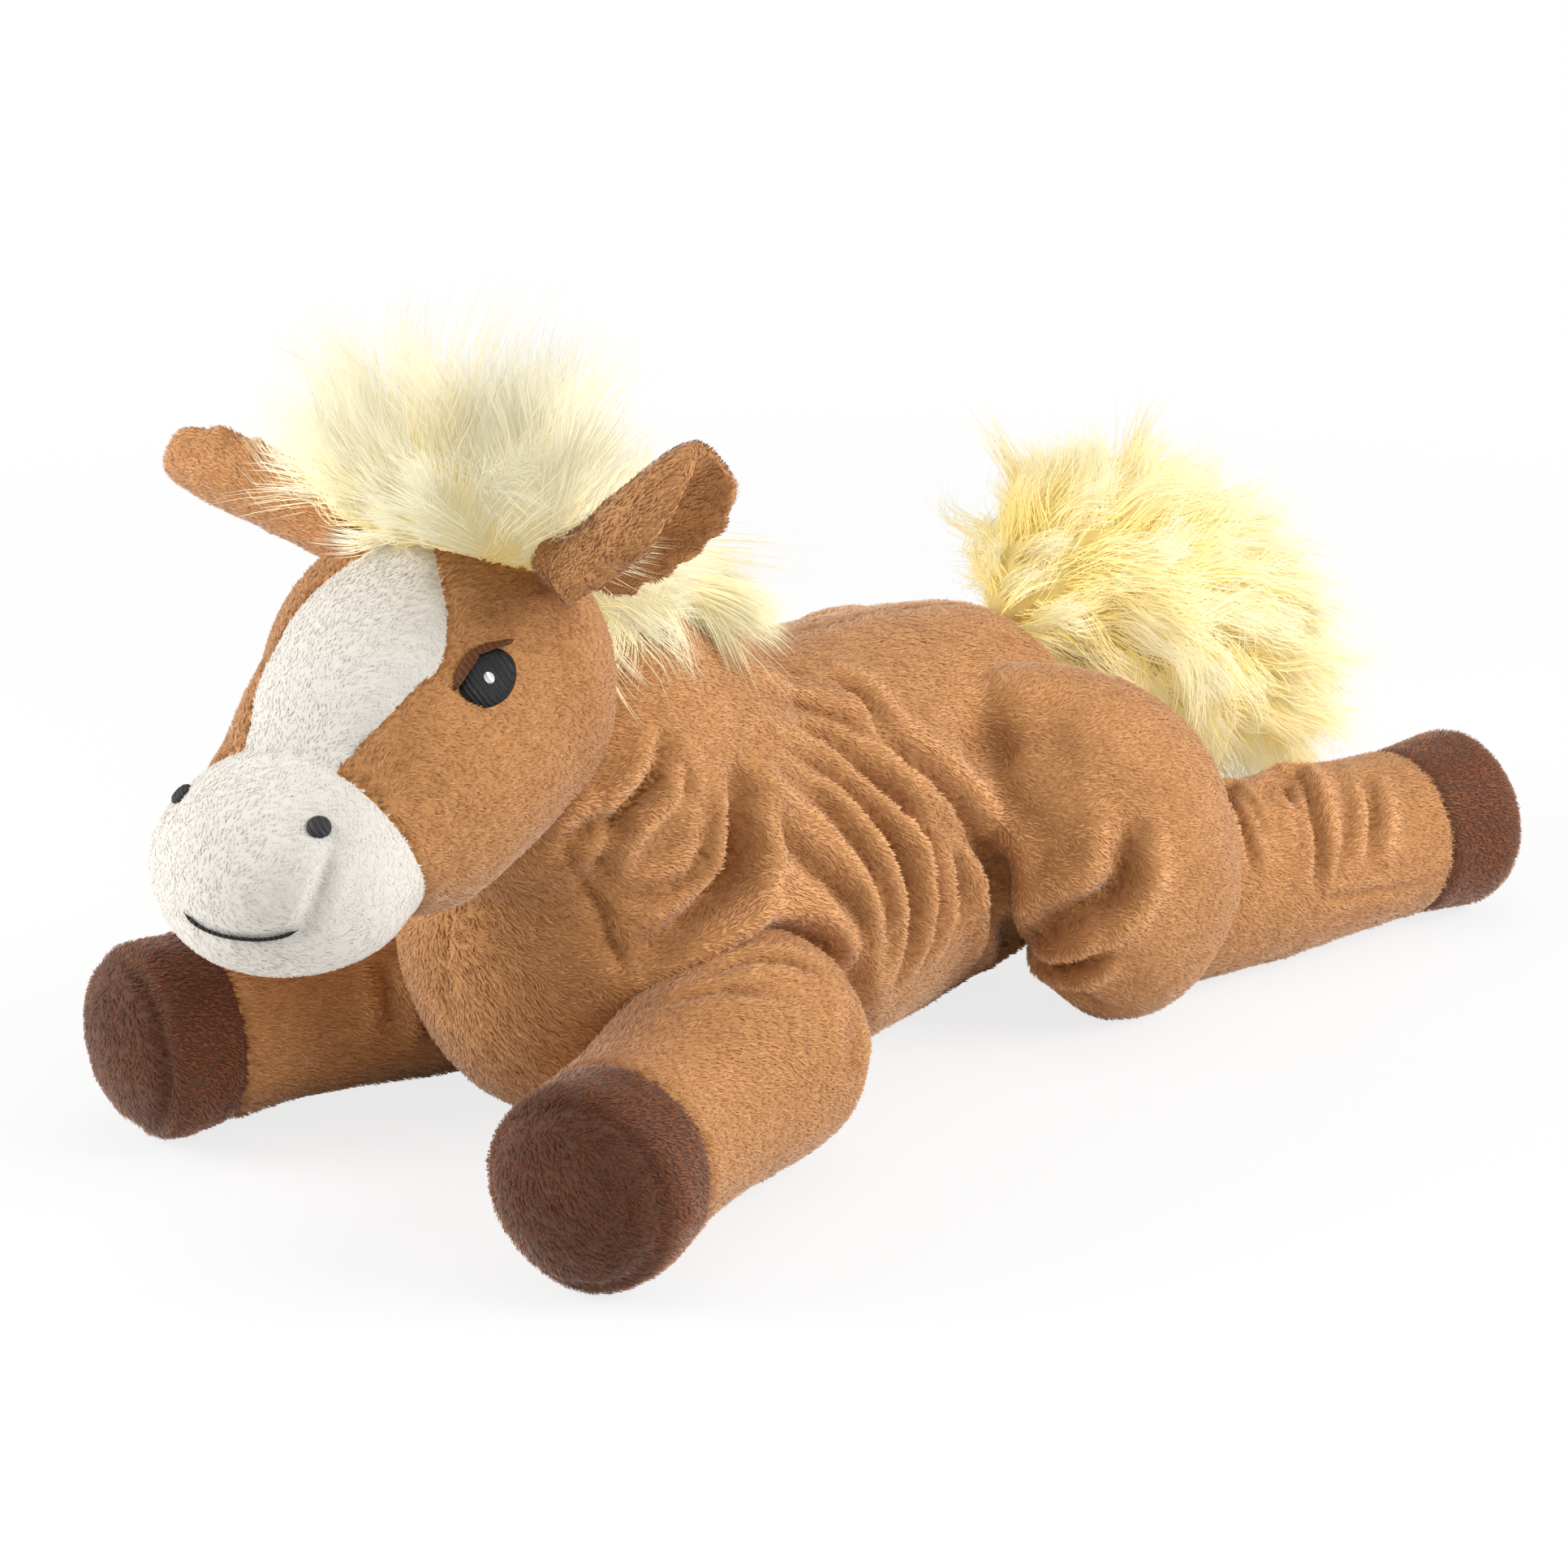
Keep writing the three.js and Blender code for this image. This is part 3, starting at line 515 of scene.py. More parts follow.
class PlushHorseSettings(bpy.types.PropertyGroup):
    pile_length: FloatProperty(
        name="Pile length", description="How long the short fibres of the plush are",
        default=0.0016, min=0.0005, max=0.01, unit="LENGTH")
    pile_width: FloatProperty(
        name="Pile width", description="How wide a tuft of fibres is at its root",
        default=0.00027, min=0.0001, max=0.002, unit="LENGTH")
    pile_density: FloatProperty(
        name="Pile density", description="Tufts of fibres on each square millimetre",
        default=2.3, min=0.1, max=5)
    fold_strength: FloatProperty(
        name="Fold strength", description="How deep the creases of the cloth are", default=1.3, min=0, max=3)
    seam_depth: FloatProperty(
        name="Seam depth", description="How far a seam pulls the cloth in",
        default=0.0009, min=0, max=0.003, unit="LENGTH")
    seam_width: FloatProperty(
        name="Seam width", description="Half the width of the dip along a seam",
        default=0.0011, min=0.0003, max=0.004, unit="LENGTH")
    fur_length: FloatProperty(
        name="Fur length", description="How long the shaggy fur is",
        default=0.042, min=0.01, max=0.08, unit="LENGTH")
    thread_height: FloatProperty(
        name="Thread height", description="How far embroidery stands off the plush",
        default=0.0007, min=0.0002, max=0.003, unit="LENGTH")
    skin_step: FloatProperty(
        name="Skin step", description="The size of the cloth's small quads",
        default=0.0012, min=0.0006, max=0.004, unit="LENGTH")
    plush: FloatVectorProperty(
        name="Plush", description="The caramel plush", subtype="COLOR", default=linear((0.82, 0.585, 0.345)))
    cream: FloatVectorProperty(
        name="Cream", description="The muzzle and the blaze", subtype="COLOR",
        default=linear((0.905, 0.885, 0.85)))
    hoof: FloatVectorProperty(
        name="Hoof", description="The hooves", subtype="COLOR", default=linear((0.42, 0.245, 0.15)))
    fur_root: FloatVectorProperty(
        name="Fur root", description="The shaggy fur near its roots", subtype="COLOR",
        default=linear((0.965, 0.86, 0.53)))
    fur_tip: FloatVectorProperty(
        name="Fur tip", description="The shaggy fur at its tips", subtype="COLOR",
        default=linear((0.945, 0.92, 0.81)))


def settings():
    return bpy.context.scene.plush_horse


def plush_backing():
    return made_once("caramel backing", lambda name: cloth_finish(name, settings().plush))


def hoof_backing():
    return made_once("hoof backing", lambda name: cloth_finish(name, settings().hoof, 0.7, 0.3))


def plush_fibre():
    colour = np.array(settings().plush)
    # The dark end is painted shade for creases and seams, and the pale light end a painted highlight for
    # crests
    return made_once("caramel pile", lambda name: fibre_finish(
        name, colour * np.array([0.40, 0.27, 0.16]), colour * 1.3 + 0.08, root=0.75, sheen=0.4,
        sheen_colour=(1, 0.84, 0.68)))


def cream_fibre():
    colour = np.array(settings().cream)
    return made_once("cream pile", lambda name: fibre_finish(
        name, colour * 0.93, colour, root=0.97, sheen=0.08, sheen_colour=(1, 1, 1)))


def hoof_fibre():
    colour = np.array(settings().hoof)
    # The dark and light ends are shaded and lit copies of the hoof colour: painted shade for soles and seams,
    # painted light for the bands
    return made_once("hoof pile", lambda name: fibre_finish(
        name, colour * np.array([0.4, 0.35, 0.3]), colour * 2.1, root=0.5, roughness=0.55, sheen=0.6,
        sheen_colour=(1, 0.62, 0.45)))


# Pieces

sewn = {}                                 # skins that later pieces are sewn onto


def finished_object(name, mesh, material, body, replaces=(), slot=None, fill=None, smooth=True):
    piece = bpy.data.objects.new(name, mesh)
    bpy.context.collection.objects.link(piece)
    mesh.materials.append(material)
    if smooth:
        mesh.shade_smooth()
    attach(piece, body)
    if replaces:
        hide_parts(*replaces)
    return piece


def skin_object(name, surface, keep, material, body, **rest):
    """The part of a skin whose faces are kept, as a piece."""
    quads = surface.quads[keep]
    used, corners = np.unique(quads, return_inverse=True)
    corners = corners.reshape(-1, 4)
    mesh = plain_mesh(name, surface.points[used], corners.tolist())
    return finished_object(name, mesh, material, body, **rest)


STRAND_CLEARANCE = 0.0003                 # how far strands stay off the ground, in metres


def strands(name, centres, rims, shading, tones, material, body, slot=None):
    """Tapered fibres: centres is strands by rows by 3, rims is strands by rows by corners by 3."""
    count, rows, _ = centres.shape
    sides = rims.shape[2]
    rings = rows - 1
    points = np.concatenate([
        (centres[:, :rings, None] + rims[:, :rings]).reshape(count, rings * sides, 3),
        centres[:, rings:]], axis=1)
    points[..., 2] = np.maximum(points[..., 2], STRAND_CLEARANCE)
    per = rings * sides + 1
    walls = 1 if sides == 2 else sides
    corners, tips = [], []
    for wall in range(walls):
        after = (wall + 1) % sides
        for k in range(rings - 1):
            low = k * sides
            corners.append([low + wall, low + after, low + sides + after, low + sides + wall])
        tips.append([(rings - 1) * sides + wall, (rings - 1) * sides + after, rings * sides])
    start = (np.arange(count) * per)[:, None]
    loops = (start + np.concatenate([np.ravel(corners), np.ravel(tips)]).astype(int)).reshape(-1)
    sizes = np.tile([4] * len(corners) + [3] * len(tips), count)
    mesh = bpy.data.meshes.new(name)
    mesh.vertices.add(count * per)
    mesh.vertices.foreach_set("co", points.reshape(-1))
    mesh.loops.add(len(loops))
    mesh.loops.foreach_set("vertex_index", loops)
    mesh.polygons.add(len(sizes))
    mesh.polygons.foreach_set("loop_start", np.concatenate([[0], np.cumsum(sizes)[:-1]]))
    mesh.polygons.foreach_set("loop_total", sizes)
    mesh.update(calc_edges=True)
    levels = np.arange(rows) / (rows - 1)
    spread = np.append(np.tile(np.linspace(-0.002, 0.002, sides), rings), 0)
    u = np.clip(tones, 0.002, 0.998)[:, None] + spread
    v = np.tile(np.append(np.repeat(levels[:-1], sides), levels[-1]), (count, 1))
    places = np.stack([u.reshape(-1)[loops], v.reshape(-1)[loops] * 0.998 + 0.001], axis=1)
    layer = mesh.uv_layers.new(name="OFBake")
    layer.data.foreach_set("uv", places.reshape(-1))
    mesh.shade_smooth()
    mesh.normals_split_custom_set_from_vertices(shading.reshape(-1, 3).tolist())
    return finished_object(name, mesh, material, body, slot=slot, smooth=False)


def sample(surface, keep, rng, count=None, density=None):
    """Random roots on the kept faces, with the cloth's normal and the painted shade and light of the folds at
    each.

    Count is how many there are, and density how many there are on a square millimetre.
    """
    quads = surface.quads[keep]
    corners = surface.points[quads]
    area = np.linalg.norm(np.cross(corners[:, 2] - corners[:, 0], corners[:, 3] - corners[:, 1]), axis=1) / 2
    if count is None:
        count = int(density * area.sum() / MM**2)
    chosen = rng.choice(len(quads), count, p=area / area.sum())
    s, t = rng.random((2, count, 1))
    weights = np.concatenate([(1 - s) * (1 - t), s * (1 - t), s * t, (1 - s) * t], axis=1)
    roots = np.einsum("nk,nkd->nd", weights, corners[chosen])
    normals = unit(np.einsum("nk,nkd->nd", weights, surface.normals()[quads[chosen]]))
    # Painted light on crests less painted shade in creases and seams
    shade = surface.painted_crest_light - 1.5 * surface.painted_crease_shade
    painted_fold_shading = np.einsum("nk,nk->n", weights, shade[quads[chosen]])
    return roots, normals, painted_fold_shading


def across(vectors, normals):
    """The part of each vector that lies along the cloth."""
    return unit(vectors - normals * np.sum(vectors * normals, axis=1, keepdims=True))


def pile(name, surface, keep, nap, material, body, slot, seed, density=1.0, length=1.0, lean=2.8, rough=0.07,
         tone=0.58, region=None):
    """Short plush fibres that lie along the nap, in soft drifts, with painted shade darkening them down in
    the creases and painted light on the crests.
    """
    sizes = settings()
    rng = np.random.default_rng(seed)
    drift = Lattice(seed)
    roots, normals, painted_fold_shading = sample(surface, keep, rng, density=sizes.pile_density * density)
    if region is not None:
        inside = region(roots)
        roots, normals, painted_fold_shading = roots[inside], normals[inside], painted_fold_shading[inside]
    count = len(roots)
    swirl = np.stack([drift.at(roots + 3 * k, 11 * MM) for k in range(3)], axis=1)
    curl = np.stack([drift.at(roots + 5 + k, 2.5 * MM) for k in range(3)], axis=1)
    flow = across(np.broadcast_to(nap, roots.shape) + 0.35 * swirl + 0.3 * curl, normals)
    flow = across(flow + 0.22 * rng.normal(size=(count, 3)), normals)
    tilt = np.maximum(lean + 1.1 * drift.at(roots, 4 * MM) + 0.5 * rng.normal(size=count), 1.1)
    reach = sizes.pile_length * length * rng.uniform(0.65, 1.2, count)
    direction = unit(normals + flow * tilt[:, None])
    t = np.array([0, 0.55, 1])[None, :, None]
    centres = (roots + normals * 0.0001)[:, None] + reach[:, None, None] * (
        direction[:, None] * t - normals[:, None] * 0.08 * t**2)
    widths = sizes.pile_width * rng.uniform(0.7, 1.3, (count, 1)) * np.array([[1, 0.85, 0]])
    facing = unit(normals + 0.2 * rng.normal(size=(count, 3)))
    sideways = unit(np.cross(facing, direction))
    sideways *= -np.sign(np.sum(np.cross(direction, sideways) * normals, axis=1, keepdims=True))
    rims = widths[:, :, None, None] / 2 * np.stack([-sideways, sideways], axis=1)[:, None]
    ripple = drift.at(roots + 2 * MM * np.array([drift.at(roots, 6 * MM)]).T, 1.7 * MM)
    lay = (0.1 + 2.5 * rough * ripple[:, None]) * flow
    shading = unit(normals + rough * rng.normal(size=(count, 3)) + lay)
    # Tones vary at random, with painted shade in creases and seams and painted light on crests added
    tones = np.clip(
        tone + 0.08 * drift.at(roots, 14 * MM) + 0.13 * ripple + 0.08 * rng.normal(size=count)
        + 0.45 * painted_fold_shading, 0, 1)
    return strands(name, centres, rims, np.repeat(shading, 5, axis=0), tones, material, body, slot)


# Body: a barrel and a neck, with a folded thigh on each side

BODY_WIDTH = 90 * MM
BODY_HEIGHT = 94 * MM
BODY_LENGTH = 184 * MM
CHEST_REACH = 94 * MM
RUMP_REACH = BODY_LENGTH - CHEST_REACH
NECK_WIDTH = 70 * MM
SKULL = JOINTS["neck_nod"]
HEAD_RADIUS = 34 * MM
HIP_SPREAD = 46 * MM
HAUNCH_BACK = RUMP_REACH - 25 * MM
HAUNCH_WIDTH = 46 * MM
HAUNCH_LENGTH = 62 * MM
HAUNCH_HEIGHT = 80 * MM
BELLY_HALF = 0.24 * BODY_WIDTH
BELLY_TOP = 0.34 * BODY_HEIGHT

# Creases seen in the photograph: pixels, depth and half width in millimetres, crest
BODY_FOLDS = [
    ([(905, 934), (909, 968), (910, 1004), (908, 1040), (898, 1086), (870, 1119), (830, 1152),
      (773, 1195)], 6.0, 3.2, 0.5),
    ([(820, 897), (812, 943), (791, 979), (768, 1004), (748, 1040), (734, 1086)], 3.4, 1.9, 0.6),
    ([(753, 1005), (725, 1023), (705, 1045)], 4.2, 2.2, 0.5),
    ([(832, 917), (839, 953), (842, 989)], 1.3, 1.5, 0.5),
    ([(871, 968), (870, 1004), (866, 1040), (845, 1076), (804, 1101), (766, 1114)], 2.4, 2.0, 0.5),
    ([(934, 968), (960, 1019), (993, 1060), (1029, 1093), (1057, 1132), (1065, 1172), (1062, 1218),
      (1057, 1249)], 1.9, 2.1, 0.6),
    ([(914, 913), (967, 953), (1013, 989), (1049, 1030), (1074, 1070), (1090, 1116), (1092, 1167),
      (1085, 1213)], 2.1, 1.8, 0.6),
    ([(922, 897), (978, 928), (1034, 963), (1074, 1004), (1103, 1045), (1118, 1086), (1123, 1132),
      (1118, 1178), (1103, 1223)], 3.0, 2.0, 0.6),
    ([(932, 877), (978, 892), (1018, 913), (1059, 945), (1090, 973), (1120, 1004), (1141, 1035),
      (1151, 1070), (1154, 1111), (1148, 1157), (1131, 1203)], 3.6, 2.1, 0.55),
    ([(1074, 948), (1110, 979), (1148, 1009), (1170, 1040), (1181, 1076), (1183, 1116),
      (1174, 1157)], 2.6, 2.8, 0.4),
    ([(1115, 968), (1156, 1004), (1187, 1035), (1207, 1070), (1216, 1111), (1215, 1152),
      (1205, 1188)], 2.2, 1.7, 0.5),
    ([(1072, 884), (1105, 918), (1141, 948), (1177, 986), (1207, 1030), (1228, 1070), (1239, 1116),
      (1244, 1157), (1253, 1195)], 5.0, 2.6, 0.35),
    ([(1016, 835), (1049, 847), (1072, 869), (1089, 902)], 2.2, 1.9, 0.5),
    ([(927, 854), (967, 864), (1008, 878), (1044, 897), (1077, 925)], 2.0, 1.9, 0.5),
    ([(804, 1254), (819, 1229), (865, 1195), (916, 1168), (952, 1153), (988, 1157), (1023, 1175),
      (1045, 1201), (1058, 1239), (1067, 1274)], 3.0, 2.4, 0.4),
    ([(1402, 1005), (1388, 1045), (1384, 1080), (1358, 1112), (1310, 1132), (1275, 1152),
      (1266, 1180)], 4.2, 3.0, 0.5),
    ([(1270, 1180), (1300, 1193), (1340, 1183), (1368, 1168)], 3.0, 1.9, 0.5),
    ([(1180, 905), (1222, 930), (1240, 950)], 2.8, 5.5, 0.1),
    ([(1290, 1205), (1330, 1222), (1360, 1245)], 1.2, 1.8, 0.4),
    ([(1265, 860), (1300, 930), (1310, 990)], 1.0, 5.0, 0.3),
]
FOLD_WIDENING = 1.15
HEAD_OVERLAP = 2 * MM                     # how far the body's pile reaches in under the head
FAR_FOLD_SHARE = 0.85                     # how deep the far side's folds are beside the near side's
GUSSET_SEAM = [(697, 1036), (718, 1090), (742, 1125), (752, 1158), (768, 1195)]


def barrel_form():
    tip = -CHEST_REACH
    return loft(
        [(0, tip, 0.58 * BODY_HEIGHT), (0, tip * 0.62, 0.495 * BODY_HEIGHT),
         (0, tip * 0.21, 0.482 * BODY_HEIGHT), (0, RUMP_REACH * 0.22, 0.48 * BODY_HEIGHT),
         (0, RUMP_REACH * 0.61, 0.49 * BODY_HEIGHT), (0, RUMP_REACH, 0.54 * BODY_HEIGHT)],
        BODY_WIDTH / 2, BODY_HEIGHT / 2,
        [(0, 0.86, 0.88), (0.2, 0.93, 0.97), (0.4, 1, 1.006), (0.52, 0.98, 1.003), (0.63, 0.87, 0.995),
         (0.74, 0.76, 0.97), (0.86, 0.73, 0.88), (1, 0.68, 0.76)], (0.2, 0.17))


def neck_form():
    aside, forward, height = SKULL[0], -SKULL[1], SKULL[2]
    return loft(
        [(0, -CHEST_REACH * 0.12, 0.56 * BODY_HEIGHT), (aside * 0.3, -0.55 * forward, 0.72 * height),
         (aside * 0.8, -0.9 * forward, 1.01 * height)],
        NECK_WIDTH / 2, NECK_WIDTH / 2, [(0, 1.1, 1.1), (0.5, 1.05, 1.12), (1, 0.88, 0.9)], (0.4, 0.25))


def haunch_form(sign):
    middle = sign * HIP_SPREAD
    return loft(
        [(middle * 0.5, HAUNCH_BACK * 0.6, HAUNCH_HEIGHT),
         (middle * 0.92, HAUNCH_BACK * 0.96, HAUNCH_HEIGHT * 0.5),
         (middle, HAUNCH_BACK * 1.02, -0.5 * MM)],
        HAUNCH_WIDTH / 2, HAUNCH_LENGTH / 2, [(0, 0.8, 0.66), (0.45, 1, 0.98), (1, 0.96, 0.94)], (0.5, 0.4))


def mirrored(points, surface):
    return surface.nearest(points * np.array([-1, 1, 1]))


def sew_body():
    sizes = settings()
    skin = Surface.fused([barrel_form(), neck_form(), haunch_form(1), haunch_form(-1)], sizes.skin_step)
    skin.relax(14)
    strength = sizes.fold_strength
    heights = lumps(skin, 41, (0.5, 22), (0.25, 9))
    for pixels, depth, width, crest in BODY_FOLDS:
        path = skin.traced(pixels)
        for side_path, share in ((path, 1), (mirrored(path, skin), FAR_FOLD_SHARE)):
            add_fold(skin, heights, side_path, depth * MM * strength * share, FOLD_WIDENING * width * MM,
                     crest)
    gusset = skin.traced(GUSSET_SEAM)
    for path in (gusset, mirrored(gusset, skin)):
        distance, _ = beside(skin.points, path)
        add_seam(skin, heights, distance, sizes.seam_depth * 1.8, sizes.seam_width * 1.2)
    x, _, z = skin.points.T
    on_side = (z < BELLY_TOP) & (skin.points[:, 1] > -CHEST_REACH * 0.75)
    belly_gap = np.where(on_side, np.abs(np.abs(x) - BELLY_HALF), FAR_AWAY)
    add_seam(skin, heights, belly_gap, sizes.seam_depth, sizes.seam_width)
    back_gap = np.where(z > BELLY_TOP, np.abs(x), FAR_AWAY)
    add_seam(skin, heights, back_gap, sizes.seam_depth * 0.6, sizes.seam_width)
    skin.push(heights)
    skin.relax(2)
    skin.rested()
    everywhere = np.ones(len(skin.quads), bool)
    skin_object(
        "body_plush", skin, everywhere, plush_backing(), "body",
        replaces=("body_side_left", "body_side_right", "belly_panel", "body_filling", "haunch_left_cover",
                  "haunch_left_filling", "haunch_right_cover", "haunch_right_filling"),
        slot="plush", fill=0.8)
    centres = skin.points[skin.quads].mean(axis=1)
    shown = np.linalg.norm(centres - SKULL, axis=1) > HEAD_RADIUS - HEAD_OVERLAP
    for side, sign in (("left", 1), ("right", -1)):
        half = shown & (sign * centres[:, 0] > 0)
        pile(f"body_pile_{side}", skin, half, (0, 0.9, -0.35), plush_fibre(), "body", "plush", 101 + sign)
    sewn["body"] = skin


# Legs

LEG_RADIUS = 21.5 * MM
HOOF_LENGTH = 24 * MM
SOLE_LENGTH = 11 * MM
FRONT_SWELL = 1.16                        # how much thicker a front leg is at its shoulder
LEGS = ("front_leg_left", "front_leg_right", "hind_leg_left", "hind_leg_right")
LEG_FOLDS = {
    "front_leg_left": [
        ([(870, 1200), (920, 1182), (970, 1183), (1015, 1200)], 1.6, 1.5, 0.5),
        ([(812, 1243), (860, 1226), (915, 1220), (965, 1225)], 1.0, 1.6, 0.5),
        ([(1052, 1235), (1050, 1275), (1040, 1320)], 0.8, 2.5, 0.5)],
    "front_leg_right": [
        ([(470, 1180), (480, 1230), (478, 1280)], 1.2, 2.0, 0.5),
        ([(520, 1190), (535, 1240), (530, 1290)], 1.4, 2.0, 0.5)],
    "hind_leg_left": [
        ([(1450, 942), (1470, 968), (1486, 1000), (1498, 1035), (1502, 1060)], 2.2, 1.7, 0.6),
        ([(1488, 938), (1512, 978), (1527, 1010), (1537, 1042), (1542, 1080)], 2.3, 1.5, 0.6),
        ([(1502, 944), (1532, 985), (1547, 1012), (1554, 1050)], 1.6, 1.3, 0.5),
        ([(1548, 928), (1580, 960), (1596, 995), (1601, 1030), (1600, 1055)], 1.6, 1.5, 0.6),
        ([(1574, 923), (1606, 968), (1619, 1020), (1624, 1062), (1620, 1098)], 2.6, 1.7, 0.6),
        ([(1645, 938), (1657, 980), (1657, 1040), (1640, 1088)], 1.3, 1.7, 0.5),
        ([(1680, 950), (1692, 1000), (1688, 1072)], 2.0, 2.2, 0.5),
        ([(1622, 1108), (1680, 1101), (1730, 1091), (1752, 1085)], 0.8, 1.2, 0.4)],
}
LEG_FOLDS["hind_leg_right"] = LEG_FOLDS["hind_leg_left"]


def node_points(name):
    mesh = frame["nodes"][name].data
    found = np.empty(len(mesh.vertices) * 3)
    mesh.vertices.foreach_get("co", found)
    return found.reshape(-1, 3)


def sew_leg(name, seed):
    sizes = settings()
    root = JOINTS[f"{name}_swing"]
    sole = node_points(f"{name}_hoof_sole")
    direction = sole.mean(axis=0) - root
    direction[2] = 0
    direction = unit(direction)
    length = ((sole - root) @ direction).max()
    toe = root + direction * length
    total = length + LEG_RADIUS
    swell = FRONT_SWELL if name.startswith("front") else 1
    lift = (swell - 1) * LEG_RADIUS * UP

    def share(distance):
        return (LEG_RADIUS + distance) / total

    form = loft(
        [root - direction * LEG_RADIUS + lift, root + lift, toe], LEG_RADIUS, LEG_RADIUS,
        [(0, swell, swell), (share(0), swell, swell), (share(length * 0.4), 0.97, 0.97),
         (share(length - HOOF_LENGTH * 1.4), 0.92, 0.92), (share(length - HOOF_LENGTH * 0.8), 0.96, 0.96),
         (share(length - HOOF_LENGTH * 0.4), 1, 1), (1, 0.98, 0.98)],
        (LEG_RADIUS / total, SOLE_LENGTH * 1.15 / total))
    skin = Surface.fused([form], sizes.skin_step)
    skin.relax(6)
    heights = lumps(skin, seed, (0.45, 16), (0.2, 7))
    for pixels, depth, width, crest in LEG_FOLDS[name]:
        if name == "hind_leg_right":
            path = mirrored(sewn["hind_leg_left"].traced(pixels), skin)
        else:
            path = skin.traced(pixels)
        add_fold(skin, heights, path, depth * MM * sizes.fold_strength, width * MM, crest)
    along = (skin.points - root) @ direction
    band_seam = length - HOOF_LENGTH * (1.25 if name.startswith("hind") else 1.0)
    sole_seam = length - SOLE_LENGTH * 0.6
    add_seam(skin, heights, np.abs(along - band_seam), sizes.seam_depth * 1.1, sizes.seam_width)
    add_seam(skin, heights, np.abs(along - sole_seam), sizes.seam_depth, sizes.seam_width)
    sewn[name] = Surface(skin.points.copy(), skin.quads)
    skin.push(heights)
    skin.relax(1)
    skin.rested()
    centres = skin.points[skin.quads].mean(axis=1)
    hoof = (centres - root) @ direction > band_seam
    skin.snap(hoof, lambda p: p + (band_seam - (p - root) @ direction)[:, None] * direction)
    skin_object(f"{name}_plush", skin, ~hoof, plush_backing(), name,
                replaces=(f"{name}_cover", f"{name}_filling"), slot="plush", fill=0.8)
    skin_object(f"{name}_hoof", skin, hoof, hoof_backing(), name,
                replaces=(f"{name}_hoof_band", f"{name}_hoof_sole"), slot="hoof_plush", fill=0.8)
    outside = (centres - root) @ direction > -0.5 * LEG_RADIUS
    nap = np.array([0, 1, -0.35])
    pile(f"{name}_pile", skin, ~hoof & outside, nap, plush_fibre(), name, "plush", seed + 1)
    on_sole = (centres - root) @ direction > sole_seam
    # The soles' pile has a lower tone than the bands': painted shade on the soles
    for part, keep, tone in (("band", hoof & ~on_sole, 0.74), ("sole", hoof & on_sole, 0.42)):
        pile(f"{name}_{part}_pile", skin, keep, nap + np.array([0, 0, -0.3]), hoof_fibre(), name,
             "hoof_plush", seed + 2, length=0.85, tone=tone)


# Head: made facing forward about the skull's middle, then pitched and turned

HEAD_TURN = math.atan2(JOINT_AXES["neck_nod"][1], JOINT_AXES["neck_nod"][0])
FACE_PITCH = math.radians(20)
FACE_LENGTH = 46 * MM
MUZZLE_LENGTH = 34 * MM
MUZZLE_WIDTH = 51 * MM
MUZZLE_HEIGHT = 39.5 * MM
EAR_ROOT_RADIUS = 7.5 * MM
EAR_LENGTH = 46 * MM
EAR_WIDTH = 34 * MM


def turned(axis, angle):
    x, y, z = axis
    c, s = math.cos(angle), math.sin(angle)
    skew = np.array([[0, -z, y], [z, 0, -x], [-y, x, 0]])
    return np.eye(3) + s * skew + (1 - c) * skew @ skew


HEAD_FRAME = turned((0, 0, 1), HEAD_TURN) @ turned((1, 0, 0), FACE_PITCH)


def on_head(points):
    return np.asarray(points, float) @ HEAD_FRAME.T + SKULL


def in_head(points):
    return (np.asarray(points, float) - SKULL) @ HEAD_FRAME


BLAZE_RIGHT = [(520, 640), (533, 675), (542, 716), (549, 752), (548, 793), (539, 822), (509, 846), (480, 875),
               (451, 905), (427, 934), (415, 946)]
SKULL_SHIFT = 2.5 * MM                    # the back of the head bulges to its far side
FACE_SHIFT = 0.8 * MM                     # the face between the eyes bulges to its near side
MUZZLE_SEAM_SHARE = -0.03
MUZZLE_SEAM_BOW = 3.5 * MM                # how far the seam runs forward at the sides
MUZZLE_SEAM_SLOPE = 0.12                  # how far the seam runs forward for each metre up
MUZZLE_SEAM_AT = -FACE_LENGTH - MUZZLE_SEAM_SHARE * FACE_LENGTH
BLAZE_RUN_ON = 12 * MM                    # how far the blaze runs on under the muzzle
BLAZE_SNAP = 1.5 * MM                     # borders this near the blaze's edge move onto it
DART_DEPTH = 1.3 * MM
DART_WIDTH = 1.5 * MM
NOSTRIL_DIP = 1.1 * MM
NOSTRIL_DIP_WIDTH = 4 * MM
SMILE_DIP = 1.0 * MM
SMILE_DIP_WIDTH = 1.8 * MM
NOSTRIL_DART = [(420, 1024), (408, 1051), (395, 1089), (382, 1124), (371, 1158)]
EYE_OUTLINE = [(565, 849), (568, 828), (580, 811), (601, 800), (618, 802), (631, 814), (634, 838), (622, 861),
               (601, 872), (580, 866), (568, 856)]
BROW_OUTLINE = [(558, 851), (561, 828), (573, 808), (591, 796), (612, 791), (631, 789), (631, 793),
                (612, 797), (595, 803), (580, 815), (568, 834), (562, 851)]
GLINT_CENTRE = (598, 838)
GLINT_RADIUS = 1.4 * MM
EYE_ROUND = math.radians(30)              # how much further round the head the far eye sits
NOSTRIL_CENTRES = {"left": (393, 1020), "right": (224, 979)}
NOSTRIL_RADIUS = 2.3 * MM
SMILE_PIXELS = [(226, 1124), (240, 1138), (256, 1147), (278, 1154), (318, 1158), (348, 1154), (368, 1146)]


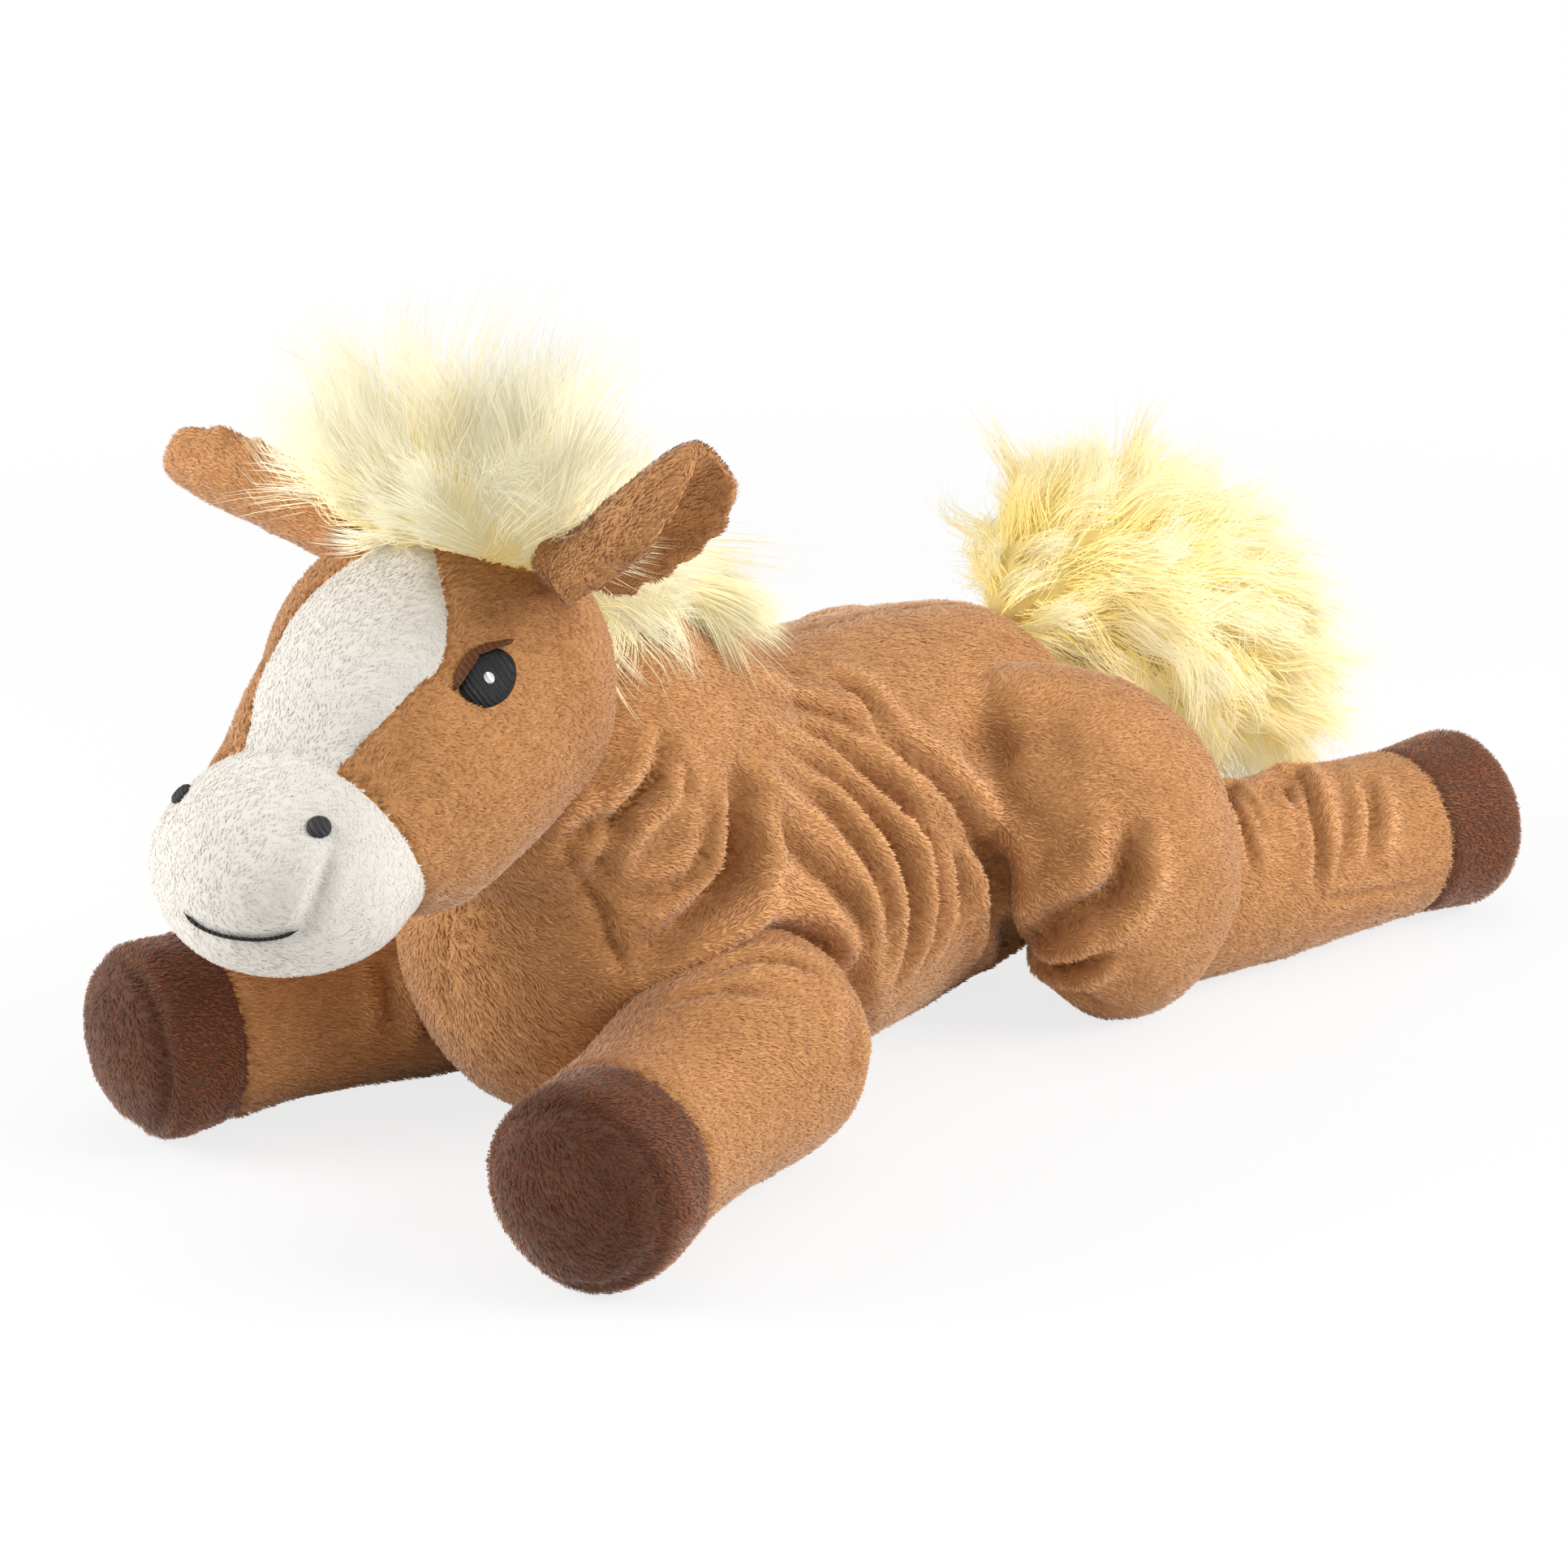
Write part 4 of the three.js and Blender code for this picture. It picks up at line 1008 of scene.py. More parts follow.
def head_form():
    head_length = HEAD_RADIUS + FACE_LENGTH + MUZZLE_LENGTH
    wide = MUZZLE_WIDTH / 2 / HEAD_RADIUS
    high = MUZZLE_HEIGHT / 2 / HEAD_RADIUS

    def share(distance):
        return (HEAD_RADIUS + distance) / head_length

    points, faces = loft(
        [(-SKULL_SHIFT, HEAD_RADIUS, 0), (-SKULL_SHIFT, 0, 0),
         (FACE_SHIFT, -FACE_LENGTH * 0.45, -HEAD_RADIUS * 0.01),
         (0, -FACE_LENGTH, -HEAD_RADIUS * 0.03),
         (0, -FACE_LENGTH - MUZZLE_LENGTH, -HEAD_RADIUS * 0.03)],
        HEAD_RADIUS, HEAD_RADIUS,
        [(0, 1.02, 0.97), (share(0), 1.02, 0.98), (share(FACE_LENGTH * 0.35), 0.93, 0.93),
         (share(FACE_LENGTH * 0.7), 0.83, 0.85), (share(FACE_LENGTH), wide * 1.02, high * 1.04),
         (share(FACE_LENGTH + MUZZLE_LENGTH * 0.4), wide * 1.07, high), (1, wide, high * 0.95)],
        (HEAD_RADIUS / head_length, MUZZLE_LENGTH * 0.75 / head_length), across=(-1, 0, 0))
    return on_head(points), faces


def inside_outline(points, outline):
    """Which flat points lie inside a closed outline."""
    inside = np.zeros(len(points), bool)
    x, y = points.T
    ends = np.roll(outline, -1, axis=0)
    for (ax, ay), (bx, by) in zip(outline, ends):
        crosses = (ay > y) != (by > y)
        at = ax + (y - ay) / (by - ay if by != ay else 1e-12) * (bx - ax)
        inside ^= crosses & (x < at)
    return inside


def outline_distance(points, outline):
    closed = np.vstack([outline, outline[:1]])
    flat = np.column_stack([points, np.zeros(len(points))])
    return beside(flat, np.column_stack([closed, np.zeros(len(closed))]))[0]


def sew_head():
    sizes = settings()
    skin = Surface.fused([head_form()], sizes.skin_step)
    skin.relax(5)
    right_edge = in_head(skin.traced(BLAZE_RIGHT))[:, :2]
    right_edge = np.vstack([right_edge, right_edge[-1] + [0, -BLAZE_RUN_ON]])
    left_edge = right_edge[::-1] * [-1, 1]
    near_skull = np.clip(1 + left_edge[:, 1] / FACE_LENGTH * 2, 0, 1)
    left_edge[:, 0] += FACE_SHIFT - (SKULL_SHIFT + FACE_SHIFT) * near_skull
    blaze_line = np.vstack([right_edge, left_edge])
    local = in_head(skin.points)
    heights = lumps(skin, 7, (0.4, 15))

    def seam_line(local):
        aside = local[:, 0] / (MUZZLE_WIDTH / 2)
        return MUZZLE_SEAM_AT - MUZZLE_SEAM_SLOPE * local[:, 2] - MUZZLE_SEAM_BOW * aside**2

    seam_gap = np.abs(local[:, 1] - seam_line(local))
    add_seam(skin, heights, seam_gap, sizes.seam_depth * 1.2, sizes.seam_width * 1.2)
    edge = outline_distance(local[:, :2], blaze_line)
    top = (local[:, 2] > 0) & (local[:, 1] > MUZZLE_SEAM_AT)
    add_seam(skin, heights, np.where(top, edge, FAR_AWAY), sizes.seam_depth * 0.8, sizes.seam_width)
    dart = skin.traced(NOSTRIL_DART)
    for path in (dart, skin.nearest(on_head(in_head(dart) * np.array([-1, 1, 1])))):
        add_fold(skin, heights, path, DART_DEPTH, DART_WIDTH, 0.5)
    for pixel in NOSTRIL_CENTRES.values():
        centre = skin.traced([pixel, pixel])[0]
        distance = np.linalg.norm(skin.points - centre, axis=1)
        heights -= NOSTRIL_DIP * np.exp(-(distance / NOSTRIL_DIP_WIDTH) ** 2)
    smile = skin.traced(SMILE_PIXELS)
    distance, _ = beside(skin.points, smile)
    heights -= SMILE_DIP * np.exp(-(distance / SMILE_DIP_WIDTH) ** 2)
    skin.push(heights)
    skin.relax(1)
    sewn["head"] = skin
    centres = in_head(skin.points[skin.quads].mean(axis=1))

    def in_muzzle(local):
        return local[:, 1] < seam_line(local)

    def in_blaze(local):
        return inside_outline(local[:, :2], blaze_line) & (local[:, 2] > 0) & ~in_muzzle(local)

    def onto_muzzle_seam(points):
        local = in_head(points)
        local[:, 1] = seam_line(local)
        return on_head(local)

    def onto_blaze_edge(points):
        local = in_head(points)
        line = smooth_path(blaze_line, 400)
        near = np.linalg.norm(local[:, None, :2] - line[None], axis=2).argmin(axis=1)
        ahead = ~in_muzzle(local) & (np.linalg.norm(local[:, :2] - line[near], axis=1) < BLAZE_SNAP)
        local[ahead, :2] = line[near][ahead]
        return on_head(local)

    muzzle, blaze = in_muzzle(centres), in_blaze(centres)
    skin.snap(muzzle, onto_muzzle_seam)
    skin.snap(blaze, onto_blaze_edge)
    brown = ~muzzle & ~blaze
    around = np.ones(len(brown), bool)
    skin_object("head_plush", skin, brown, plush_backing(), "head",
                replaces=("head_cover", "head_filling"), slot="plush", fill=0.9)
    cream = cloth_finish("cream backing", sizes.cream, 0.95, 0.05)
    skin_object("blaze", skin, blaze, cream, "head", replaces=("blaze_panel",), slot="pale_plush", fill=0.9)
    skin_object("muzzle", skin, muzzle, cream, "head", replaces=("muzzle_cover",), slot="pale_plush",
                fill=0.9)
    back_nap = HEAD_FRAME @ np.array([0, 0.8, -0.5])
    # The head's pile has a lower tone than the body's: painted shade on the face
    pile("head_pile", skin, around, back_nap, plush_fibre(), "head", "plush", 201, density=1.15,
         length=0.85, tone=0.45, region=lambda p: ~in_blaze(in_head(p)) & ~in_muzzle(in_head(p)))
    for name, seed, inside in (("blaze_pile", 202, in_blaze), ("muzzle_pile", 203, in_muzzle)):
        pile(name, skin, around, back_nap, cream_fibre(), "head", "pale_plush", seed, length=0.5, lean=4,
             rough=0.02, region=lambda p, inside=inside: inside(in_head(p)))


PATCH_SIDES = 56
PATCH_SUNK = 0.3 * MM                     # how deep the rim of the embroidery sits in the cloth
THREAD_SIDES = 10
SMILE_RADIUS = 0.36 * MM


def patch(name, outline, skin, material, body, lift, replaces, slot, rings=7):
    """A raised patch of thread on the skin inside an outline of points."""
    centre = outline.mean(axis=0)
    tree = skin.lookup()
    rows, normals = [], []
    rim = smooth_path(np.vstack([outline, outline[:1]]), PATCH_SIDES + 1)[:-1]
    for k in range(rings + 1):
        share = 1 - k / rings
        ring = centre + (rim - centre) * share
        for point in (ring if share > 0 else ring[:1]):
            place, normal, _, _ = tree.find_nearest(Vector(point))
            rows.append(tuple(place))
            normals.append(tuple(normal))
    rows, normals = np.array(rows), unit(np.array(normals))
    sides = len(rim)
    levels = np.repeat(np.arange(rings), sides)
    dome = np.append(1 - (1 - np.minimum(levels / 2, 1)) ** 2, 1)
    base = rows - normals * PATCH_SUNK
    top = rows + normals * (lift * (0.35 + 0.65 * dome))[:, None]
    points = np.vstack([top, base[:sides]])
    faces = ring_faces(rings - 1, sides)
    last = rings * sides
    faces += [((rings - 1) * sides + i, (rings - 1) * sides + (i + 1) % sides, last) for i in range(sides)]
    faces += [(last + 1 + i, last + 1 + (i + 1) % sides, (i + 1) % sides, i) for i in range(sides)]
    mesh = plain_mesh(name, points, faces)
    return finished_object(name, mesh, material, body, replaces=replaces, slot=slot)


def circle_on(skin, centre, radius):
    place, normal, _, _ = skin.lookup().find_nearest(Vector(centre))
    normal = np.array(normal)
    right = unit(np.cross(UP, normal))
    over = np.cross(normal, right)
    turn = np.linspace(0, 2 * np.pi, 24, endpoint=False)[:, None]
    return np.array(place) + radius * (np.cos(turn) * right + np.sin(turn) * over)


def tube(name, path, radius, material, body, replaces, slot):
    """A round thread along a path, tapered at its ends."""
    path = smooth_path(path, 70)
    along = unit(np.gradient(path, axis=0))
    side_way = unit(np.cross(along, UP))
    over = np.cross(side_way, along)
    share = np.linspace(0, 1, len(path))
    thick = radius * np.clip(np.minimum(share, 1 - share) * 14, 0.15, 1) * (1 + 0.12 * np.sin(share * 140))
    turn = np.linspace(0, 2 * np.pi, THREAD_SIDES, endpoint=False)
    rows = path[:, None] + thick[:, None, None] * (
        np.cos(turn)[None, :, None] * side_way[:, None] + np.sin(turn)[None, :, None] * over[:, None])
    points = np.vstack([rows.reshape(-1, 3), path[:1], path[-1:]])
    faces = ring_faces(len(path) - 1, THREAD_SIDES)
    last = (len(path) - 1) * THREAD_SIDES
    around = [(k, (k + 1) % THREAD_SIDES) for k in range(THREAD_SIDES)]
    faces += [(len(points) - 2, after, k) for k, after in around]
    faces += [(len(points) - 1, last + k, last + after) for k, after in around]
    mesh = plain_mesh(name, points, faces)
    return finished_object(name, mesh, material, body, replaces=replaces, slot=slot)


def embroider():
    sizes = settings()
    skin = sewn["head"]
    black = thread_finish("black thread", (0.007, 0.007, 0.009))
    brown = thread_finish("brown thread", linear((0.37, 0.20, 0.07)))
    grey = thread_finish("charcoal thread", (0.035, 0.035, 0.04))
    white = thread_finish("white thread", (0.85, 0.85, 0.85))
    shapes = {"eye": skin.traced(EYE_OUTLINE, 4), "brow": skin.traced(BROW_OUTLINE, 4)}
    glint = skin.traced([GLINT_CENTRE, GLINT_CENTRE])[0]
    round_head = turned((0, 1, 0), -EYE_ROUND)

    def other_side(points):
        return on_head((in_head(points) * [-1, 1, 1]) @ round_head.T)

    for name in ("left", "right"):
        across_face = (lambda p: p) if name == "left" else other_side
        lift = sizes.pile_length * 0.45 + sizes.thread_height
        patch(f"eye_{name}_thread", across_face(shapes["eye"]), skin, black, "head", lift, (f"eye_{name}",),
              "dark_thread")
        patch(f"brow_{name}_thread", across_face(shapes["brow"]), skin, brown, "head", lift * 1.15,
              (f"brow_{name}",), "brown_thread")
        patch(f"glint_{name}_thread", circle_on(skin, across_face(glint), GLINT_RADIUS), skin, white, "head",
              lift * 1.3, (f"eye_glint_{name}",), "white_thread", rings=4)
        nostril = skin.traced([NOSTRIL_CENTRES[name]] * 2)[0]
        patch(f"nostril_{name}_thread", circle_on(skin, nostril, NOSTRIL_RADIUS), skin, grey, "head",
              lift * 0.8, (f"nostril_{name}",), "dark_thread", rings=4)
    smile = skin.traced(SMILE_PIXELS)
    lifted = smile + unit(EYE - smile) * lift * 0.55
    tube("smile_thread", lifted, SMILE_RADIUS, black, "head", ("smile_stitch",), "dark_thread")


# Ears: a leaf of two layers, curled lengthwise

EAR_LAYER = 2.5 * MM                      # how thick the two layers are together
EAR_EDGE_HALF = 0.4 * MM                  # the least half width, at the leaf's tip
EAR_EDGE_LAYER = 0.1 * MM
EAR_RUFFLE = 1.1 * MM
EAR_RUFFLE_WAVES = 30                     # radians along the leaf
EAR_SHORT = 2 * MM                        # how much the leaf ends short of its length
EAR_POINT = 8 * MM                        # how far the leaf's closed end reaches into the head
EAR_BALL_DEPTH = 5 * MM
EAR_BALL_RADIUS = EAR_ROOT_RADIUS * 0.75
EAR_SKIN_STEP = 0.9 * MM
# Droop and turn in degrees, length as a share, start and shift in millimetres
EAR_SHAPES = {
    "left": {"droop": 50, "turn": 98, "sign": 1, "length": 0.84, "start": -3, "shift": (4.5, 4.5, 6)},
    "right": {"droop": 76, "turn": -60, "sign": -1, "length": 1, "start": -3, "shift": (0, 0, -2)},
}


def ear_form(name):
    shape = EAR_SHAPES[name]
    sign = shape["sign"]
    root = JOINTS[f"ear_{name}_flop"] + np.array(shape["shift"]) * MM
    length = EAR_LENGTH * shape["length"]
    start = shape["start"] * MM
    pose = (turned((0, 0, 1), HEAD_TURN) @ turned((0, 1, 0), sign * math.radians(shape["droop"]))
            @ turned((0, 0, 1), -sign * math.radians(shape["turn"])))
    rings, sides = 64, 72
    v = np.linspace(0, 1, rings + 1)
    half = 0.57 * EAR_WIDTH * (0.72 + 0.28 * np.sin(np.pi * (0.05 + 0.62 * v))) * (1 - v**5) ** 0.5
    half = np.maximum(half, EAR_EDGE_HALF)
    thick = EAR_LAYER * (1 - v**8) ** 0.5 + EAR_EDGE_LAYER
    curl = 2.0 - 0.3 * v
    turn = 2 * np.pi * np.arange(sides) / sides
    u = np.sign(np.cos(turn)) * np.abs(np.cos(turn)) ** 0.8
    layer = np.sin(turn)
    bend = u[None] * curl[:, None]
    radius = (half / curl)[:, None]
    ruffle = EAR_RUFFLE * np.sin(v * EAR_RUFFLE_WAVES)[:, None] * np.abs(u[None]) ** 5
    reach = radius - layer[None] * thick[:, None] + ruffle
    level = (start + v * (length - EAR_SHORT - start))[:, None]
    points = np.stack([
        reach * np.sin(bend), radius - reach * np.cos(bend), np.broadcast_to(level, bend.shape)], axis=-1)
    points = points.reshape(-1, 3)
    centre = np.array([[0, 0, length - EAR_SHORT], [0, 0, -EAR_POINT]])
    points = np.vstack([points, centre]) @ pose.T + root
    faces = ring_faces(rings, sides)
    tip, base = len(points) - 2, len(points) - 1
    faces += [(rings * sides + k, rings * sides + (k + 1) % sides, tip) for k in range(sides)]
    faces += [((k + 1) % sides, k, base) for k in range(sides)]
    return points, faces, pose, root


def sew_ear(name, seed):
    points, faces, pose, root = ear_form(name)
    root_ball = ball(root - EAR_BALL_DEPTH * (pose @ UP), EAR_BALL_RADIUS)
    skin = Surface.fused([(points, faces), root_ball], EAR_SKIN_STEP)
    skin.relax(3)
    skin.push(lumps(skin, seed, (0.5, 8)))
    everywhere = np.ones(len(skin.quads), bool)
    body = f"ear_{name}"
    skin_object(f"{body}_plush", skin, everywhere, plush_backing(), body,
                replaces=(f"{body}_back", f"{body}_lining"), slot="plush", fill=0.3)
    pile(f"{body}_pile", skin, everywhere, pose @ UP, plush_fibre(), body, "plush", seed + 1,
         density=1.3, length=0.85)


# Long fur

FUR_CEILING_SOFT = 22 * MM                # strands bend over softly below their ceiling
FUR_WIDTH = 0.27 * MM
FUR_ROWS = 7                              # steps along a strand, its root and tip included
FUR_FUZZ = 1.1 * MM
FUR_CURL = 0.17
TUFT_BLUR = 1.5 * MM                      # how ragged the borders between tufts are
FUR_SUNK = 0.6 * MM                       # how deep a strand is rooted in the cloth
FORELOCK_HALF = 20 * MM                   # half the width of the forelock's patch
FORELOCK_MIDDLE = 15.5 * MM               # the patch's middle, behind the skull's
FORELOCK_FRONT = 13.5 * MM
FORELOCK_BACK = 22 * MM
FORELOCK_LOWEST = -2 * MM                 # the patch ends here, below the skull's middle
FORELOCK_STRIP_FROM = 0.25                # share of the way back where only a strip goes on
FORELOCK_STRIP_SHARE = 0.55
FORELOCK_CORE_HEIGHT = 24 * MM            # the point that strands are shaded round
FORELOCK_RISE = 14 * MM                   # how far strands may stand above the forelock's solid
FORELOCK_STRANDS = 11000
FORELOCK_TUFTS = 110
MANE_SPAN = (-75 * MM, -46 * MM)
MANE_HALF = 9 * MM
MANE_CORE_DEPTH = 12 * MM                 # strands are shaded round a line this far below
MANE_STRANDS = 10500
MANE_TUFTS = 90
TAIL_RADIUS = 22 * MM
TAIL_START = np.array([0, -2, -6]) * MM   # where the tail's core starts, from its joint
TAIL_LINE = [(0.2, 1), (0.48, -14), (0.7, -36), (0.9, -57)]     # share of its reach, millimetres up
TAIL_SKIN_STEP = 1.6 * MM
TAIL_STRANDS = 10500
TAIL_TUFTS = 260
SPINE_STEPS = 60


def fur(name, roots, normals, directions, lengths, tufts, body, replaces, seed, axis, droop=0.25, gather=0.88,
        bend=0.5, shade=0.6, ceiling=None):
    """Shaggy fur: strands that follow their tuft and meet it towards the tip."""
    rng = np.random.default_rng(seed)
    count = len(roots)
    heads = rng.choice(count, tufts, replace=False)
    own = np.empty(count, int)
    for start in range(0, count, 2000):
        block = roots[start:start + 2000]
        gap = np.linalg.norm(block[:, None] - roots[heads][None], axis=2)
        gap += TUFT_BLUR * rng.random(gap.shape)
        own[start:start + 2000] = gap.argmin(axis=1)
    tuft_way = unit(directions[heads] + 0.2 * rng.normal(size=(tufts, 3)))
    tuft_bend = bend * rng.normal(size=(tufts, 3))
    tuft_length = lengths[heads] * rng.uniform(0.6, 1.15, tufts)
    side_way = unit(np.cross(tuft_way, rng.normal(size=(tufts, 3))))
    phase = rng.uniform(0, 2 * np.pi, tufts)
    t = np.linspace(0, 1, FUR_ROWS)[None, :, None]
    reach = (tuft_length[own] * rng.uniform(0.7, 1.06, count))[:, None, None]
    way = unit(tuft_way[own] + 0.13 * rng.normal(size=(count, 3)))[:, None]
    start_phase = phase[own][:, None, None]
    wave = FUR_CURL * (np.sin(t * 6 + start_phase) - np.sin(start_phase))
    line = reach * (way * t - droop * UP * t**2.2 + tuft_bend[own][:, None] * t**2 / 2
                    + wave * t * side_way[own][:, None])
    spread = (roots - roots[heads][own])[:, None]
    pull = 1 - gather * t**0.8
    fuzz = FUR_FUZZ * rng.normal(size=(count, 1, 3)) * t
    centres = roots[heads][own][:, None] + spread * pull + line + fuzz
    if ceiling is not None:
        soft_from = ceiling - FUR_CEILING_SOFT
        over = np.maximum(centres[..., 2] - soft_from, 0)
        squeezed = soft_from + FUR_CEILING_SOFT * (1 - np.exp(-over / FUR_CEILING_SOFT))
        centres[..., 2] = np.where(over > 0, squeezed, centres[..., 2])
    centres[:, 0] = roots - normals * FUR_SUNK
    taper = np.clip(1.12 - t[0, :, 0][None] ** 1.6, 0, 1)
    widths = FUR_WIDTH * rng.uniform(0.6, 1.3, (count, 1)) * taper
    chord = unit(centres[:, -1] - centres[:, 0])
    middle = centres[:, FUR_ROWS // 2]
    outward = unit(middle - axis(middle))
    first = unit(np.cross(chord, rng.normal(size=(count, 3))))
    second = np.cross(chord, first)
    turn = 2 * np.pi * np.arange(3) / 3
    radial = (np.cos(turn)[None, :, None] * first[:, None] + np.sin(turn)[None, :, None] * second[:, None])
    rims = widths[:, :, None, None] / 2 * radial[:, None]
    soft = unit(outward + 0.7 * UP)[:, None] + 0.4 * radial
    shading = np.concatenate([
        np.broadcast_to(soft[:, None], (count, FUR_ROWS - 1, 3, 3)).reshape(count, -1, 3),
        soft.mean(axis=1, keepdims=True)], axis=1)
    tones = np.clip(shade + 0.11 * rng.normal(size=tufts)[own] + 0.14 * rng.normal(size=count), 0, 1)
    piece = strands(name, centres, rims, unit(shading), tones, fur_fibre(), body, "long_fur")
    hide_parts(*replaces)
    return piece


def fur_fibre():
    return made_once("shaggy fur", fur_finish)


def fur_finish(name):
    sizes = settings()
    finish = material_finish(name)
    texture = finish.node("ShaderNodeUVMap", {"uv_map": "OFBake"})
    own = finish.node("ShaderNodeSeparateXYZ", {}, {0: texture})
    along = Value(finish, own.socket.node.outputs[1])
    blend = finish.node("ShaderNodeMath", {"operation": "ADD", "use_clamp": True}, {
        0: along * 0.95, 1: own * 0.95 - 0.5})
    tone = finish.mixed(blend, (*sizes.fur_root, 1), (*sizes.fur_tip, 1))
    # The fur glows a little in its own colour: painted light standing in for light that passes through the
    # fibres
    return finish.surface(
        Base_Color=tone, Roughness=0.6, Specular_IOR_Level=0.2, Emission_Color=tone, Emission_Strength=0.3)


def comb_forelock():
    sizes = settings()
    rng = np.random.default_rng(301)
    skin = sewn["head"]

    def patch_places(points):
        """Where points lie on the patch: aside and back, each from -1 to 1."""
        local = in_head(points)
        behind = local[:, 1] - FORELOCK_MIDDLE
        reach = np.where(behind < 0, FORELOCK_FRONT, FORELOCK_BACK)
        return local[:, 0] / FORELOCK_HALF, behind / reach, local[:, 2]

    aside, back, height = patch_places(skin.points[skin.quads].mean(axis=1))
    strip = (back < FORELOCK_STRIP_FROM) | (np.abs(aside) < FORELOCK_STRIP_SHARE)
    keep = (aside**2 + back**2 < 1) & (height > FORELOCK_LOWEST) & strip
    core = on_head([0, FORELOCK_MIDDLE, FORELOCK_CORE_HEIGHT])
    for name, seed in (("forelock_fur", 302), ("forelock_down", 303)):
        roots, normals, _ = sample(skin, keep, rng, FORELOCK_STRANDS)
        aside, back, _ = patch_places(roots)
        front = np.clip(-back, 0, 1) ** 2
        fan = np.where(aside < 0, 1.35, 1.1 + 0.4 * aside)
        behind = np.clip(back, 0, 1)
        out = np.stack([fan * aside, 0.6 * back - 0.15 - 0.4 * front + 0.9 * behind**2,
                        1 - 0.4 * front - 0.6 * behind**2], axis=1)
        directions = unit(out @ turned((0, 0, 1), HEAD_TURN).T)
        lengths = sizes.fur_length * (0.8 - 0.45 * front - 0.2 * behind)
        if name == "forelock_down":
            lengths = lengths * 0.72
        fur(name, roots, normals, directions, lengths, FORELOCK_TUFTS, "head", ("forelock",), seed,
            lambda p: np.broadcast_to(core, p.shape), droop=-0.25, bend=0.36, shade=0.68,
            ceiling=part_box("forelock")[1][2] + FORELOCK_RISE)


def comb_mane():
    sizes = settings()
    skin = sewn["body"]
    rng = np.random.default_rng(311)
    centres = skin.points[skin.quads].mean(axis=1)
    middle = 0.5 * SKULL[0]
    low, high = MANE_SPAN
    keep = (np.abs(centres[:, 0] - middle) < MANE_HALF) & (centres[:, 1] > low) & (centres[:, 1] < high)
    keep &= centres[:, 2] > 0.8 * BODY_HEIGHT
    roots, normals, _ = sample(skin, keep, rng, MANE_STRANDS)
    aside = (roots[:, 0] - middle) / MANE_HALF
    share = (roots[:, 1] - low) / (high - low)
    rise = 0.1 + 0.3 * rng.normal(size=len(roots))
    directions = unit(np.stack([1.1 * aside + 0.5, 0.3 + 0.5 * share, rise], axis=1))

    def axis(points):
        below = points[:, 2] - MANE_CORE_DEPTH
        return np.stack([np.full(len(points), middle), points[:, 1], below], axis=1)

    fur("mane_fur", roots, normals, directions, sizes.fur_length * (0.55 + 0.1 * share), MANE_TUFTS, "body",
        ("mane",), 312, axis, droop=0.35)


def comb_tail():
    sizes = settings()
    rng = np.random.default_rng(321)
    root = JOINTS["tail_lift"]
    reach = max(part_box("tail")[1]) - root[1]
    line = [root + TAIL_START] + [root + np.array([0, share * reach, up * MM]) for share, up in TAIL_LINE]
    core = loft(line, TAIL_RADIUS, TAIL_RADIUS,
                [(0, 0.35, 0.35), (0.28, 1, 1), (0.65, 0.95, 0.95), (1, 0.45, 0.45)], (0.2, 0.3),
                rings=40, sides=36)
    skin = Surface.fused([core], TAIL_SKIN_STEP)
    skin.relax(3)
    everywhere = np.ones(len(skin.quads), bool)
    skin_object("tail_core", skin, everywhere, cloth_finish("fur backing", sizes.fur_root, 0.8, 0.06), "tail",
                slot="long_fur", fill=0.5)
    spine = smooth_path(line, SPINE_STEPS)
    tangents = unit(np.gradient(spine, axis=0))

    def nearest(points):
        return np.linalg.norm(points[:, None] - spine[None], axis=2).argmin(axis=1)

    for name, seed in (("tail_fur", 322), ("tail_down", 323)):
        roots, normals, _ = sample(skin, everywhere, rng, TAIL_STRANDS)
        step = nearest(roots)
        share = (step / (SPINE_STEPS - 1))[:, None]
        outward = normals.copy()
        outward[:, 1] = np.maximum(outward[:, 1], -0.35)
        directions = unit(outward * (0.75 - 0.25 * share) + tangents[step] * (0.7 + 0.5 * share) + UP * 0.1)
        lengths = sizes.fur_length * (0.6 - 0.1 * share[:, 0]) * np.clip(0.5 + 3.5 * share[:, 0], 0, 1)
        if name == "tail_down":
            lengths = lengths * 0.75
        fur(name, roots, normals, directions, lengths, TAIL_TUFTS, "tail", ("tail",), seed,
            lambda p: spine[nearest(p)], droop=0.12, gather=0.84, shade=0.42)


# Stage

SENSOR_WIDTH = 36                         # millimetres
FLOOR_HALF = 3.0                          # metres
FLOOR_DROP = 0.0004                       # metres, so that nothing that rests touches the floor
WORLD_LEVEL = 0.38
WHITE = (1, 1, 1, 1)
LAMPS = (                                 # name, place and size in metres, power in watts
    ("left", (-0.55, -0.8, 0.5), 0.6, 8.8),
    ("right", (0.85, 0.45, 0.6), 0.6, 9.6),
    ("top", (0.1, 0.1, 1.15), 0.8, 2.5))
LAMP_AIM = Vector((0, 0, 0.05))


